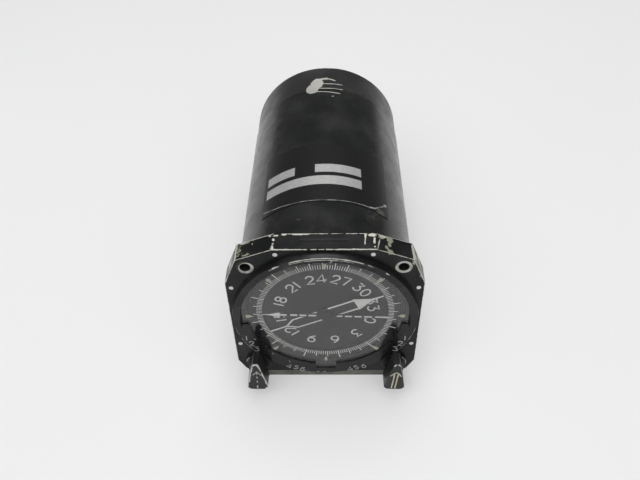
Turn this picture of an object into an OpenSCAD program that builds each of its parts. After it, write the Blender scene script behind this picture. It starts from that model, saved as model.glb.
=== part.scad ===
/* [Flange] */
// Distance of the bezel flange's side edges outside the case tube
side_margin = 1.1; // [1:0.05:2]
// Distance of the flange's top edge outside the case tube
top_margin = 1.6; // [1.4:0.05:2.5]
// Distance of the flange's bottom edge outside the case tube
bottom_margin = 3.7; // [3:0.1:4.2]
// Thickness of the flange in front of the panel
flange_t = 9; // [8.4:0.1:12]
// Length of the flat at the top edge, between the cut corners
top_flat = 40.4; // [38:0.1:42]
// Distance of each upper corner point outside the lines of the mounting holes
corner_margin = 3.87; // [3.6:0.01:4.2]
// Height on the side where the upper corner cut starts
side_top = 22; // [20:0.1:24]
// Depth on the side where the lower corner cut starts
side_bottom = 30.3; // [29:0.1:31]
// Distance of each lower corner outside the lines of the mounting holes
lower_margin = 5.6; // [5:0.01:6]
// Half of the small cut across each lower corner
lower_round = 0.4; // [0.2:0.05:0.8]
// Distance of the standard mounting holes outside the case tube
hole_margin = 4.952; // [4.9:0.002:5.1]
// Bore radius of the mounting bushes
hole_r = 2.1; // [1.8:0.05:2.2]
// Outer radius of the mounting bushes
bush_r = 3.45; // [2.8:0.05:3.6]
// How far the bushes stand out of the flange's face
bush_proud = 0.1; // [0.05:0.05:0.4]
// Height of the bevel along the flange's front bottom edge
bevel_h = 4.3; // [3.4:0.1:4.8]
// Depth of that bevel at the bottom edge
bevel_d = 0.4; // [0.2:0.1:1]
// Half width of that bevel
bevel_half = 26.9; // [24:0.1:27.5]
// Radius of the small filled screws in the flange's face
face_screw_r = 0.95; // [0.6:0.05:1.1]
// Length of the small filled screws
face_screw_len = 3; // [2:0.1:4]
// Distance of the small filled screws outside the case tube
face_screw_margin = 3.3; // [3.1:0.05:3.5]
// How far the lower side screws lie inside the others' circle
low_screw_inset = 0.4; // [0:0.05:0.6]
// Angle of the upper and side screws from the centre lines
face_screw_turn = 26.5; // [25:0.5:28]
// Angle of the lower side screws below the side
low_screw_turn = 25.5; // [23:0.5:27]

/* [Bezel ring] */
// How far the bezel ring's outer wall lies outside the case tube's
ring_step = 0.2; // [0.1:0.05:0.4]
// Height of the flat lower half of the ring
land_h = 0.5; // [0.4:0.05:0.9]
// Width of the lower half's lip
lip_w = 6.5; // [6:0.1:7.5]
// Height of the raised brow over the upper half
brow_h = 2.5; // [1.5:0.1:3.5]
// Width of the brow at its front
brow_w = 3.4; // [3:0.1:4]
// Width of the brow at the glass
brow_foot_w = 3.7; // [3.4:0.05:3.9]
// How much the brow's outer wall draws in at the front
brow_draft = 0.3; // [0:0.05:0.6]
// Distance below the centre where the brow ends
brow_end = 3.9; // [2:0.1:6]
// Half width of the notch at the bottom of the lip
notch_half = 4.6; // [3:0.1:6]
// Width of lip that the notch leaves
notch_w = 3.3; // [3.1:0.1:4]

/* [Glass and mask] */
// Width of the ring's seat outside the glass
glass_margin = 2.9; // [2.8:0.05:3.1]
// Thickness of the cover glass
glass_t = 1.2; // [1:0.1:1.4]
// Gap between the glass and the bore round it
glass_fit = 0.15; // [0.05:0.05:0.2]
// Thickness of the gasket behind the glass
gasket_t = 0.6; // [0.4:0.05:0.8]
// Width of the gasket
gasket_w = 0.9; // [0.8:0.05:1.2]
// Width of the mask's front wall
mask_wall_w = 2.1; // [1.9:0.05:2.3]
// Thickness of the mask's plate beside the card
mask_plate_t = 1; // [0.9:0.05:1.4]
// Gap between the mask and the turning card
card_edge_gap = 0.3; // [0.25:0.05:0.5]
// Thickness of the fixed index marks on the back of the glass
mark_t = 0.2; // [0.1:0.05:0.22]
// Length of the index marks
mark_len = 3.2; // [2.8:0.05:3.6]
// Width of the index marks
mark_w = 2; // [1.6:0.1:2.4]
// Length of the index marks' pointed heads
mark_head = 2.2; // [1.8:0.1:2.6]
// Distance from the glass's edge to the feet of the two side marks
side_mark_inset = 2.5; // [2.2:0.1:3]
// Distance from that edge to the feet of the diagonal marks
diagonal_mark_inset = 3.5; // [3:0.1:4]
// Distance from that edge to the feet of the top and bottom marks
end_mark_inset = 4.6; // [4:0.1:5]
// Radius of the dial lamps
lamp_r = 1.3; // [1:0.05:1.4]
// Length of the dial lamps' straight part
lamp_base = 0.3; // [0.2:0.05:0.6]

/* [Card and pointers] */
// Distance between the mask's front wall and the compass card's edge
card_inset = 1.7; // [1.6:0.05:2.2]
// Thickness of the compass card
card_t = 0.6; // [0.5:0.05:0.7]
// How far the numbered middle lies behind the outer scale
card_step = 1.1; // [0.8:0.05:1.2]
// Width of the card's outer scale
scale_w = 6; // [5.6:0.05:6.4]
// How far the card lies behind the mask's step
card_set_back = 0.2; // [0.1:0.05:0.3]
// Thickness of each pointer
pointer_t = 0.25; // [0.2:0.01:0.4]
// Gap between the glass and the front pointer
glass_gap = 0.3; // [0.3:0.05:0.6]
// Gap between the two pointers
pointer_gap = 0.65; // [0.4:0.05:0.7]
// Gap between the rear pointer and the card
card_gap = 0.5; // [0.4:0.05:0.6]
// Distance between the pointers' tips and the card's edge
pointer_inset = 5; // [4:0.1:7]
// How much shorter the pointers' tails are than their points
tail_short = 1; // [0.5:0.1:2]
// Length of the thin needle at the end of each pointer
needle_len = 5; // [4:0.1:6]
// Width of that needle at its foot
needle_w = 1.2; // [0.8:0.05:1.4]
// Width of that needle at its tip
tip_w = 0.4; // [0.2:0.05:0.6]
// Length of the front pointer's head and needle
single_head_len = 8.2; // [7.5:0.1:9]
// Width of the front pointer's head
single_head_w = 3; // [2.4:0.1:3.6]
// Length of the rear pointer's head and needle
double_head_len = 13.2; // [12.5:0.1:14]
// Width of the rear pointer's head
double_head_w = 7.2; // [6.8:0.1:8]
// Distance from the rear pointer's tail end to where its bars start to join
fork_back = 12.5; // [11.5:0.1:14]
// Distance from that end to where they have joined
join_back = 8.5; // [7:0.1:10]
// Radius of the cap on the front pointer
cap_r = 2.2; // [1.6:0.1:2.6]
// Width of the pointers' bars
bar_w = 1; // [0.7:0.05:1.3]
// Spread of the double pointer's bars, centre to centre
bar_spread = 5.6; // [5:0.1:7]
// Width of the front pointer's broad black bar
body_w = 2.2; // [1.6:0.1:2.6]
// Length of the front pointer's thin tail behind that bar
thin_tail = 6; // [4:0.1:8]
// Radius of the pointers' centre discs
pointer_hub_r = 3; // [2.6:0.1:3.4]
// Rest angle of the front pointer above the left side
single_turn = 2.4; // [0:0.1:20]
// Rest angle of the rear pointer above the right side
double_turn = 25.7; // [21:0.1:90]
// Radius of the front pointer's shaft
shaft_r = 0.8; // [0.6:0.05:0.8]
// Outer radius of the rear pointer's sleeve
sleeve_r = 1.8; // [1.6:0.05:1.8]
// Gap between one turning shaft and the next round it
shaft_gap = 0.3; // [0.28:0.01:0.35]
// Outer radius of the card's hub
hub_r = 3.5; // [3:0.05:3.8]
// Radius of the hub's flange behind the card
hub_flange_r = 9; // [7:0.1:11]
// Thickness of the hub's flange
hub_flange_t = 1.2; // [0.8:0.1:1.8]
// Wall of the bearings that carry the hub
bearing_w = 2.4; // [1.8:0.1:3]

/* [Gears] */
// Tooth module of all gears
gear_m = 0.5; // [0.48:0.005:0.5]
// Teeth on the card's gear, and on the heading synchro's
card_teeth = 48; // [40:2:48]
// Teeth on the motor's pinion
pinion_teeth = 16; // [16:1:20]
// Teeth on each knob's gear
knob_teeth = 20; // [18:1:20]
// Teeth on each selector switch's gear
switch_teeth = 32; // [30:1:32]
// Width of the gears' rims
gear_w = 2.2; // [1.6:0.1:2.4]
// Play between meshed teeth
backlash = 0.12; // [0.08:0.01:0.16]
// Distance of the card's gear behind the front plate
gear_stand = 1.6; // [1.2:0.1:2]

/* [Plates and posts] */
// Length of the flange's spigot inside the tube, with its neck
spigot_len = 4; // [3:0.1:6]
// Length of the neck between the flange and the tube
neck_len = 1; // [0.6:0.1:2]
// Width of the spigot's wall, with the tube's
shoulder_w = 5; // [4.9:0.05:5.3]
// Thickness of the plates that carry the works
plate_t = 2.5; // [2:0.1:3]
// Gap between the works' plates and the tube
plate_clear = 0.4; // [0.3:0.05:0.6]
// Space between the front plate and the gear plate
gear_space = 9.5; // [9:0.1:12]
// Distance of the circuit board in front of the tube's rear end
board_inset = 17; // [15:0.1:19]
// Space between the rear plate and the circuit board
board_space = 6; // [4:0.1:8]
// Thickness of the circuit board
board_t = 1.6; // [1.2:0.1:2]
// Radius of the posts between the plates
post_r = 2.2; // [1.8:0.05:2.5]
// Distance of the posts inside the tube's outer wall
post_inset = 6; // [5.6:0.1:7]
// Radius of the small screws' shanks
screw_r = 0.95; // [0.8:0.05:1]
// Radius of the small screws' heads
head_r = 1.6; // [1.4:0.05:1.8]
// Height of the small screws' heads
head_h = 1.1; // [0.8:0.1:1.5]
// Width and depth of the slots in those heads
slot_w = 0.4; // [0.3:0.05:0.5]
// Distance between the transistor cans on the board
can_pitch = 14; // [10:0.5:16]
// Radius of those cans
can_r = 4; // [3:0.1:4.5]
// Height of those cans
can_h = 6; // [4:0.5:9]
// Distance between the capacitors on the board
capacitor_pitch = 10; // [7:0.5:12]
// Radius of those capacitors
capacitor_r = 2.6; // [2:0.1:3.2]
// Height of those capacitors
capacitor_h = 9; // [6:0.5:12]
// Distance of the cans and the capacitors from the board's centre
row_reach = 18; // [16:0.5:19]
// Width of the board's transformer
transformer_w = 22; // [16:0.5:24]
// Height and depth of that transformer
transformer_h = 14; // [10:0.5:16]
// How far that transformer stands off the board
transformer_d = 10; // [8:0.5:14]

/* [Motor and synchros] */
// Radius of the synchros' housings
synchro_r = 9.5; // [9:0.05:9.6]
// Gap between the two synchros on the card's axis
synchro_gap = 5.5; // [4:0.1:8]
// Radius of the card motor's housing
motor_r = 6.2; // [5.8:0.05:6.2]
// Length of the card motor's housing
motor_len = 27; // [22:0.1:32]
// Wall of the motor's and synchros' housings
housing_wall = 2; // [1.5:0.1:2.2]
// Gap between each rotor and its housing
rotor_gap = 0.4; // [0.3:0.05:0.6]
// Gap between each rotor's ends and its housing
rotor_end_gap = 1; // [0.6:0.1:2]

/* [Case] */
// Outer radius of the case tube, of the standard size
tube_r = 39.5; // [39.3:0.05:39.7]
// Wall of the case tube
tube_wall = 1.1; // [0.9:0.05:1.2]
// Length of the case tube behind the panel
tube_len = 111.5; // [111:0.1:116]
// How far the rear cover's wall lies inside the tube's
cover_step = 0.3; // [0.2:0.05:0.4]
// Length of the rear cover
cover_len = 23.25; // [21:0.05:25]
// Wall of the rear cover
cover_wall = 1.2; // [1:0.05:1.5]
// Thickness of the rear cover's end
cover_end_t = 2; // [1.6:0.1:2.5]
// Radius of the rear cover's rounded edge
cover_round = 1.8; // [1:0.1:2.4]
// Length of the cover's spigot inside the tube
cover_spigot = 6; // [4:0.1:8]
// Thickness of the blank identity plate
label_t = 0.15; // [0.1:0.01:0.16]
// Length of the identity plate along the case
label_len = 41; // [38:0.1:46]
// Distance of the identity plate behind the flange
label_start = 21.6; // [18:0.1:26]
// Half angle that the identity plate covers
label_half = 43.5; // [38:0.5:48]

/* [Rear connector] */
// Side of the connector's square flange
conn_flange = 27; // [26:0.1:29]
// Thickness of the connector's flange
conn_flange_t = 1.6; // [1.4:0.1:2]
// Outer radius of the connector's barrel
conn_r = 10.4; // [9.8:0.1:10.6]
// Wall of the connector's barrel
conn_wall = 1.2; // [1:0.05:1.4]
// Width of the shelf behind the connector's socket
conn_shelf = 0.5; // [0.4:0.05:0.8]
// Corner radius of the connector's flange
conn_corner = 1.5; // [1:0.1:3]
// Radius of the connector's bayonet pins
bayonet_r = 1.1; // [0.8:0.05:1.3]
// How far the bayonet pins stand out of the barrel
bayonet_h = 1.2; // [0.8:0.05:1.5]
// Distance of the bayonet pins from the barrel's end
bayonet_back = 4; // [3:0.1:6]
// Length of the connector's barrel behind its flange
conn_len = 12.5; // [11:0.1:14]
// Depth of the socket in front of the insert
conn_depth = 6.2; // [5:0.1:7]
// Hole to hole distance of the connector's screws
conn_pitch = 20.6; // [20:0.1:21]
// Length of the contacts' tails inside the case
contact_tail = 6; // [3:0.1:8]
// How far the insert reaches into the case
insert_tail = 2; // [1:0.1:3]
// Distance between the contacts' rings
contact_pitch = 2.7; // [2.5:0.05:2.8]
// How far the contacts lie behind the insert's face
contact_sink = 0.3; // [0.2:0.05:0.6]
// Radius of the bundle of wires
loom_r = 2; // [1.2:0.1:3]
// Distance of that bundle inside the circle of the cover's posts
loom_inset = 6.5; // [5:0.1:8]
// Radius of the contacts' sockets
contact_r = 0.65; // [0.5:0.05:0.7]

/* [Knobs] */
// How far the knobs' axes lie inside the lines of the mounting holes
knob_inset = 0.5; // [0:0.05:0.8]
// Distance from the flange's face to the knob's face
knob_front = 11.3; // [10.4:0.1:13]
// Distance from the flange's face to the rear of the knob's grip
grip_gap = 4; // [3:0.1:5]
// Gap between the knob's skirt and the flange's face
knob_gap = 0.8; // [0.7:0.05:1.2]
// Radius of the knob's round skirt
skirt_r = 5.8; // [5.2:0.1:6.2]
// Thickness of that skirt
skirt_t = 0.8; // [0.6:0.05:1.2]
// Length of the knob's grip from axis to apex
knob_apex = 12.2; // [10.5:0.1:12.4]
// Length of the knob's grip from axis to base
knob_base = 6.4; // [6.2:0.1:7.4]
// Width of the knob's grip at its base
knob_w = 9.3; // [8.6:0.1:9.8]
// Width of the knob's grip at its apex
knob_tip_w = 3; // [2.6:0.1:4]
// Corner radius at the knob's base
knob_round = 2.4; // [1.6:0.1:2.8]
// Corner radius at the knob's apex
tip_round = 1.1; // [0.6:0.1:1.3]
// Thickness of the knob's face in front of its shaft
knob_skin = 2; // [1.5:0.1:3]
// Radius of the round boss between the knob's grip and its skirt
boss_r = 4.2; // [3.4:0.1:4.6]
// Radius of the knobs' set screws
set_screw_r = 0.85; // [0.6:0.05:1]
// Length of the knobs' set screws
set_screw_len = 4.2; // [3:0.1:5]
// How far the right knob has slipped on its shaft
right_knob_slip = 2.5; // [0:0.5:10]
// Radius of the knobs' shafts
knob_shaft_r = 1.6; // [1.3:0.05:1.7]
// Running clearance of the shafts in their bushes
run_fit = 0.05; // [0.02:0.01:0.08]
// Outer radius of the knobs' bushes
knob_bush_r = 2.9; // [2.6:0.05:3.2]
// Width of the bushes' rims
bush_rim = 0.6; // [0.4:0.05:0.8]
// Thickness of the covers behind the knobs' gears
pocket_cover_t = 1; // [0.8:0.05:1.1]
// Gap between the knobs' gears and their pockets
pocket_gap = 0.4; // [0.3:0.05:0.5]
// Width of the land that each pocket's cover covers
pocket_land = 1.1; // [0.9:0.05:1.2]
// Gap between those covers and the case tube
pocket_tube_gap = 0.5; // [0.3:0.05:0.8]
// Radius of the selector switches
switch_r = 6; // [5.4:0.1:6]
// Length of the selector switches
switch_len = 8.6; // [7:0.1:8.8]
// Wall behind each switch's shaft
switch_end = 1; // [0.8:0.1:1.5]

/* [Hidden] */
$fn = 96;
// Small gap that keeps two pieces of one fixed stack apart
seat_gap = 0.05;
// Overshoot of cutting shapes past the face that they cut
over = 1;
// Height of the teeth outside and inside the pitch circle, and the lean of their flanks, in modules
tip_height = 0.8;
root_depth = 1.15;
flank_lean = 0.36;

// The frame: X to the right, Y into the case, Z up. The flange's rear face lies at y = 0.
ring_r = tube_r + ring_step;
lip_r = ring_r - lip_w;
brow_r = ring_r - brow_w;
brow_foot_r = ring_r - brow_foot_w;
notch_r = ring_r - notch_w;
glass_r = ring_r - glass_margin;
gasket_in_r = glass_r - gasket_w;
mask_wall_r = glass_r - mask_wall_w;
card_r = mask_wall_r - card_inset;
card_mid_r = card_r - scale_w;
pointer_len = card_r - pointer_inset;
pointer_tail = pointer_len - tail_short;
needle_x = pointer_len - needle_len;
single_base = pointer_len - single_head_len;
double_base = pointer_len - double_head_len;
body_end = pointer_tail - thin_tail;
fork_x = pointer_tail - fork_back;
join_x = pointer_tail - join_back;
shoulder_r = tube_r - shoulder_w;
spigot_r = tube_r - tube_wall - seat_gap;
cover_r = tube_r - cover_step;
post_reach = tube_r - post_inset;
loom_drop = post_reach - loom_inset;

face_y = -flange_t;
glass_front_y = face_y;
glass_rear_y = glass_front_y + glass_t;
gasket_rear_y = glass_rear_y + gasket_t;
single_front_y = glass_rear_y + glass_gap;
single_rear_y = single_front_y + pointer_t;
double_front_y = single_rear_y + pointer_gap;
double_rear_y = double_front_y + pointer_t;
card_face_y = double_rear_y + card_gap;
card_mid_y = card_face_y + card_step;
card_rear_y = card_mid_y + card_t;
mask_step_y = card_face_y - card_set_back;
mask_rear_y = mask_step_y + mask_plate_t;
seat_r = glass_r + glass_fit;
mask_in_r = card_r + card_edge_gap;

plate_r = tube_r - tube_wall - plate_clear;
front_plate_y = spigot_len;
gear_plate_y = front_plate_y + plate_t + gear_space;
works_y = gear_plate_y + plate_t;
board_y = tube_len - board_inset;
rear_plate_y = board_y - board_space - plate_t;
synchro_len = (rear_plate_y - works_y - synchro_gap) / 2;
cover_rear_y = tube_len + cover_len;
cover_inner_y = cover_rear_y - cover_end_t;
conn_rear_y = cover_rear_y + conn_flange_t + conn_len;
insert_face_y = conn_rear_y - conn_depth;
insert_r = conn_r - conn_wall - conn_shelf - seat_gap;
single_synchro_y = rear_plate_y - synchro_len;

sleeve_bore = shaft_r + shaft_gap;
hub_bore = sleeve_r + shaft_gap;
bearing_r = hub_r + bearing_w;
gear_front_y = front_plate_y + plate_t + gear_stand;

hole_x = (tube_r + hole_margin) / sqrt(2);
flange_half = tube_r + side_margin;
flange_top = tube_r + top_margin;
flange_bottom = tube_r + bottom_margin;
corner_reach = hole_x + corner_margin;
lower_reach = hole_x + lower_margin;
face_screw_reach = tube_r + face_screw_margin;
low_screw_reach = face_screw_reach - low_screw_inset;
lamp_reach = (shoulder_r + seat_r + pocket_tube_gap) / 2;
knob_teeth_gap = gear_m * (knob_teeth + switch_teeth) / 2;
knob_x = hole_x - knob_inset;
switch_reach = knob_x * sqrt(2) - knob_teeth_gap;
switch_x = switch_reach / sqrt(2);
knob_gear_r = gear_m * knob_teeth / 2 + tip_height * gear_m;
switch_gear_r = gear_m * switch_teeth / 2 + tip_height * gear_m;
knob_gear_y = -pocket_cover_t - pocket_gap - gear_w;
pocket_front_y = knob_gear_y - pocket_gap;
heading_reach = gear_m * card_teeth;
motor_reach = gear_m * (card_teeth + pinion_teeth) / 2;
// The heading synchro lies up to the right of the card's axis, the motor up to the left
heading_x = heading_reach / sqrt(2);
motor_x = motor_reach / sqrt(2);
heading_direction = 45;
motor_direction = 135;
knob_direction = 45;
// Turns between which the drop-shaped mark's sides are round
drop_from = 30;
drop_to = 110;
post_turns = [0, 90, 180, 270];
plate_screw_turns = [30, 150, 210, 330];
plate_screw_reach = (shoulder_r + plate_r) / 2;

black = [0.07, 0.07, 0.075];
satin = [0.11, 0.11, 0.12];
steel = [0.62, 0.63, 0.64];
alloy = [0.72, 0.73, 0.75];
white_paint = [0.85, 0.85, 0.82];

// Turns a shape drawn as seen from the front into a solid from y0 to y1
module slab(y0, y1) {
    translate([0, y1, 0]) rotate([90, 0, 0]) linear_extrude(y1 - y0) children();
}

// Turns a profile of radius and depth round the Y axis
module turned() {
    rotate([-90, 0, 0]) rotate_extrude() children();
}

module at(x, z) {
    translate([x, 0, z]) children();
}

module at_2d(x, z) {
    translate([x, z]) children();
}

module disc(r, y0, y1) {
    slab(y0, y1) circle(r);
}

module tube(ro, ri, y0, y1) {
    slab(y0, y1) difference() {
        circle(ro);
        circle(ri);
    }
}

module round_at(turns, reach) {
    for (a = turns) at(reach * cos(a), reach * sin(a)) children();
}

// Points of an arc
function arc(cx, cy, r, a0, a1, n = 8) =
    [for (i = [0:n]) let (a = a0 + (a1 - a0) * i / n) [cx + r * cos(a), cy + r * sin(a)]];

// Points of a spur gear with straight tooth flanks
function gear_points(teeth, turn = 0) =
    let (pitch_r = gear_m * teeth / 2, step = 360 / teeth, root_r = pitch_r - root_depth * gear_m,
        tip_r = pitch_r + tip_height * gear_m,
        half = step / 4 - 90 * backlash / (PI * pitch_r),
        lean = flank_lean * gear_m * 180 / (PI * pitch_r))
    [for (i = [0:teeth - 1], s = [[root_r, -half - 1.2 * lean], [tip_r, -half + lean],
        [tip_r, half - lean], [root_r, half + 1.2 * lean]])
        let (a = turn + i * step + s[1]) [s[0] * cos(a), s[0] * sin(a)]];

module gear(teeth, bore, y0, turn = 0) {
    slab(y0, y0 + gear_w) difference() {
        polygon(gear_points(teeth, turn));
        circle(bore);
    }
}

// A turned housing with a rotor space, a front bore and a rear bore or none
module housing(r, y0, len, front_bore, rear_bore) {
    inner = r - housing_wall;
    difference() {
        disc(r, y0, y0 + len);
        disc(inner, y0 + housing_wall, y0 + len - housing_wall);
        disc(front_bore, y0 - over, y0 + len / 2);
        if (rear_bore > 0) disc(rear_bore, y0 + len / 2, y0 + len + over);
    }
}

module rotor(r, y0, len, bore) {
    inner = r - housing_wall - rotor_gap;
    end = housing_wall + rotor_end_gap;
    tube(inner, bore, y0 + end, y0 + len - end);
}

// A screw with its head in front of y and its shank behind it; way is 1 for a shank towards +Y
module screw(y, len, way = 1) {
    y_head = way > 0 ? [y - head_h, y] : [y, y + head_h];
    y_shank = way > 0 ? [y, y + len] : [y - len, y];
    difference() {
        disc(head_r, y_head[0], y_head[1]);
        slot_y = way > 0 ? [y_head[0] - over, y_head[0] + slot_w] : [y_head[1] - slot_w, y_head[1] + over];
        slab(slot_y[0], slot_y[1]) square([2 * head_r + over, slot_w], center = true);
    }
    disc(screw_r, y_shank[0], y_shank[1]);
}

module flange_outline() {
    right = [[top_flat / 2, flange_top], [corner_reach, corner_reach], [flange_half, side_top],
        [flange_half, -side_bottom], [lower_reach + lower_round, -lower_reach + lower_round],
        [lower_reach - lower_round, -lower_reach - lower_round], [side_bottom, -flange_bottom]];
    left = [for (i = [len(right) - 1:-1:0]) [-right[i][0], right[i][1]]];
    polygon(concat(right, left));
}

module face_screw_places() {
    t = face_screw_turn;
    round_at([t, 90 - t, 90 + t, 180 - t], face_screw_reach) children();
    round_at([180 + low_screw_turn, 360 - low_screw_turn], low_screw_reach) children();
}

module cover_shape(clear) {
    difference() {
        at_2d(knob_x, -knob_x) circle(knob_gear_r + pocket_land + clear);
        circle(tube_r + pocket_tube_gap - clear);
    }
}

// Wedge cut off the front bottom edge
module front_bevel() {
    slope = bevel_d / bevel_h;
    translate([-bevel_half, 0, 0]) rotate([90, 0, 90]) linear_extrude(2 * bevel_half)
        polygon([[face_y, -flange_bottom + bevel_h],
            [face_y + bevel_d + over * slope, -flange_bottom - over],
            [face_y - over, -flange_bottom - over], [face_y - over, -flange_bottom + bevel_h]]);
}

// Front body: a thick square plate with the window's stepped bore and a spigot for the tube
module bezel_flange() {
    color(satin) difference() {
        union() {
            slab(face_y, 0) flange_outline();
            disc(tube_r, -over, neck_len);
            disc(spigot_r, -over, spigot_len);
        }
        disc(seat_r, face_y - over, mask_rear_y);
        disc(shoulder_r, mask_rear_y - over, spigot_len + over);
        for (s = [-1, 1]) {
            at(s * hole_x, hole_x) disc(bush_r + seat_gap, face_y - over, over);
            at(s * knob_x, -knob_x) {
                disc(knob_bush_r + seat_gap, face_y - over, pocket_front_y + over);
                disc(knob_gear_r + pocket_gap, pocket_front_y, -pocket_cover_t + seat_gap);
            }
            at(s * switch_x, -switch_x)
                disc(switch_gear_r + pocket_gap, pocket_front_y, -pocket_cover_t);
            round_at([90 - s * 45], lamp_reach) disc(lamp_r + seat_gap, mask_rear_y - over, 0);
        }
        slab(-pocket_cover_t, over) {
            cover_shape(seat_gap);
            mirror([1, 0]) cover_shape(seat_gap);
        }
        face_screw_places() disc(face_screw_r + seat_gap, face_y - over, face_y + face_screw_len);
        front_bevel();
        round_at(plate_screw_turns, plate_screw_reach)
            disc(screw_r + seat_gap, spigot_len / 4, spigot_len + over);
    }
}

module mounting_bushes() {
    color(steel) for (s = [-1, 1])
        at(s * hole_x, hole_x) tube(bush_r, hole_r, face_y - bush_proud, 0);
}

module face_screws() {
    color(white_paint) face_screw_places()
        disc(face_screw_r, face_y - seat_gap, face_y + face_screw_len - seat_gap);
}

// Ring that holds the glass: a flat lip below, a raised brow above
module bezel_ring() {
    brow_y = face_y - brow_h;
    land_y = face_y - land_h;
    half = ring_r + over;
    color(black) difference() {
        union() {
            tube(ring_r, brow_foot_r, land_y, face_y);
            intersection() {
                tube(tube_r, lip_r, land_y, face_y);
                translate([-half, land_y - over, -half]) cube([2 * half, 4 * over, half - brow_end]);
            }
            intersection() {
                turned() polygon([[brow_foot_r, face_y], [ring_r, face_y], [ring_r - brow_draft, brow_y],
                    [brow_r, brow_y]]);
                translate([-half, brow_y - over, -brow_end]) cube([2 * half, flange_t, 2 * half]);
            }
        }
        intersection() {
            disc(notch_r, land_y - over, face_y + over);
            translate([-notch_half, land_y - over, -half]) cube([2 * notch_half, 4 * over, half]);
        }
    }
}

module cover_glass() {
    color([0.8, 0.85, 0.85, 0.3]) disc(glass_r, glass_front_y, glass_rear_y);
}

module glass_gasket() {
    color([0.15, 0.15, 0.15]) tube(glass_r, gasket_in_r, glass_rear_y, gasket_rear_y);
}

// Fixed ring round the card, with a deep front wall
module dial_mask() {
    color(black) turned() polygon([[mask_wall_r, gasket_rear_y], [glass_r, gasket_rear_y],
        [glass_r, mask_rear_y], [mask_in_r, mask_rear_y], [mask_in_r, mask_step_y],
        [mask_wall_r, mask_step_y]]);
}

module mark_shape(inset) {
    foot_r = glass_r - inset;
    head_r = foot_r - mark_len + mark_head;
    polygon([[foot_r - mark_len, 0], [head_r, mark_w / 2], [foot_r, mark_w / 3], [foot_r, -mark_w / 3],
        [head_r, -mark_w / 2]]);
}

// Mark with a round foot, at the bottom of the window
module drop_shape(inset) {
    foot_r = glass_r - inset;
    head_r = foot_r - mark_len + mark_head;
    r = mark_w / 3;
    polygon(concat([[foot_r - mark_len, 0]], arc(head_r, 0, r, -drop_to, -drop_from, 6),
        [[foot_r, -r / 2], [foot_r, r / 2]], arc(head_r, 0, r, drop_from, drop_to, 6)));
}

module index_marks() {
    front_y = glass_rear_y + seat_gap;
    color([0.75, 0.68, 0.5]) slab(front_y, front_y + mark_t) {
        for (a = [0, 180]) rotate(a) mark_shape(side_mark_inset);
        for (a = [45, 135, 225, 315]) rotate(a) mark_shape(diagonal_mark_inset);
        rotate(90) mark_shape(end_mark_inset);
        rotate(270) drop_shape(end_mark_inset);
    }
}

module dial_lamps() {
    color([0.9, 0.88, 0.8]) for (s = [-1, 1]) round_at([90 - s * 45], lamp_reach) turned()
        polygon(concat([[0, -seat_gap], [lamp_r, -seat_gap]],
            arc(0, mask_rear_y + lamp_r + lamp_base, lamp_r, 0, -90)));
}

module front_plate() {
    color(alloy) slab(front_plate_y, front_plate_y + plate_t) difference() {
        circle(plate_r);
        circle(bearing_r + seat_gap);
        for (s = [-1, 1]) at_2d(s * switch_x, -switch_x) circle(knob_shaft_r + shaft_gap);
        for (a = plate_screw_turns) rotate(a) at_2d(plate_screw_reach, 0) circle(screw_r + seat_gap);
    }
}

module plate_screws() {
    color(steel) round_at(plate_screw_turns, plate_screw_reach)
        screw(front_plate_y + plate_t, plate_t + spigot_len / 2, -1);
}

module card_bearings() {
    color(steel) for (y = [front_plate_y, gear_plate_y]) tube(bearing_r, hub_r + run_fit, y, y + plate_t);
}

module gear_plate() {
    color(alloy) slab(gear_plate_y, works_y) difference() {
        circle(plate_r);
        circle(bearing_r + seat_gap);
        at_2d(heading_x, heading_x) circle(shaft_r + shaft_gap);
        at_2d(-motor_x, motor_x) circle(shaft_r + shaft_gap);
    }
}

module posts(y0, y1) {
    color(alloy) round_at(post_turns, post_reach) disc(post_r, y0, y1);
}

module short_posts() {
    posts(front_plate_y + plate_t, gear_plate_y);
}

module long_posts() {
    posts(works_y, rear_plate_y);
}

module rear_plate() {
    color(alloy) disc(plate_r, rear_plate_y, rear_plate_y + plate_t);
}

module card_motor() {
    color([0.55, 0.56, 0.58]) at(-motor_x, motor_x)
        housing(motor_r, works_y, motor_len, shaft_r + run_fit, 0);
}

module heading_synchro() {
    color([0.6, 0.6, 0.62]) at(heading_x, heading_x)
        housing(synchro_r, works_y, synchro_len, shaft_r + run_fit, 0);
}

module double_synchro() {
    color([0.6, 0.6, 0.62]) housing(synchro_r, works_y, synchro_len, sleeve_r + run_fit,
        sleeve_r + run_fit);
}

module single_synchro() {
    color([0.6, 0.6, 0.62]) housing(synchro_r, single_synchro_y, synchro_len, shaft_r + run_fit, 0);
}

module board_posts() {
    posts(rear_plate_y + plate_t, board_y);
}

module servo_board() {
    color([0.2, 0.4, 0.25]) disc(plate_r, board_y, board_y + board_t);
}

// Transistor cans, capacitors and a transformer on the board
module board_parts() {
    y = board_y + board_t;
    color([0.45, 0.38, 0.25]) {
        for (i = [-1:1]) at(i * can_pitch, row_reach) disc(can_r, y, y + can_h);
        for (i = [-1.5:1.5]) at(i * capacitor_pitch, -row_reach) disc(capacitor_r, y, y + capacitor_h);
        slab(y, y + transformer_d) square([transformer_w, transformer_h], center = true);
    }
}

// Bundle of wires from the board's lower edge to the back of the connector
module wiring_loom() {
    turn_y = tube_len + cover_spigot;
    contacts_y = cover_inner_y - contact_tail;
    color([0.75, 0.72, 0.6]) {
        at(0, -loom_drop) disc(loom_r, board_y + board_t, turn_y);
        translate([0, turn_y, -loom_drop]) {
            sphere(loom_r);
            cylinder(h = loom_drop, r = loom_r);
        }
        translate([0, turn_y, 0]) sphere(loom_r);
        disc(loom_r, turn_y, contacts_y);
    }
}

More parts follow.
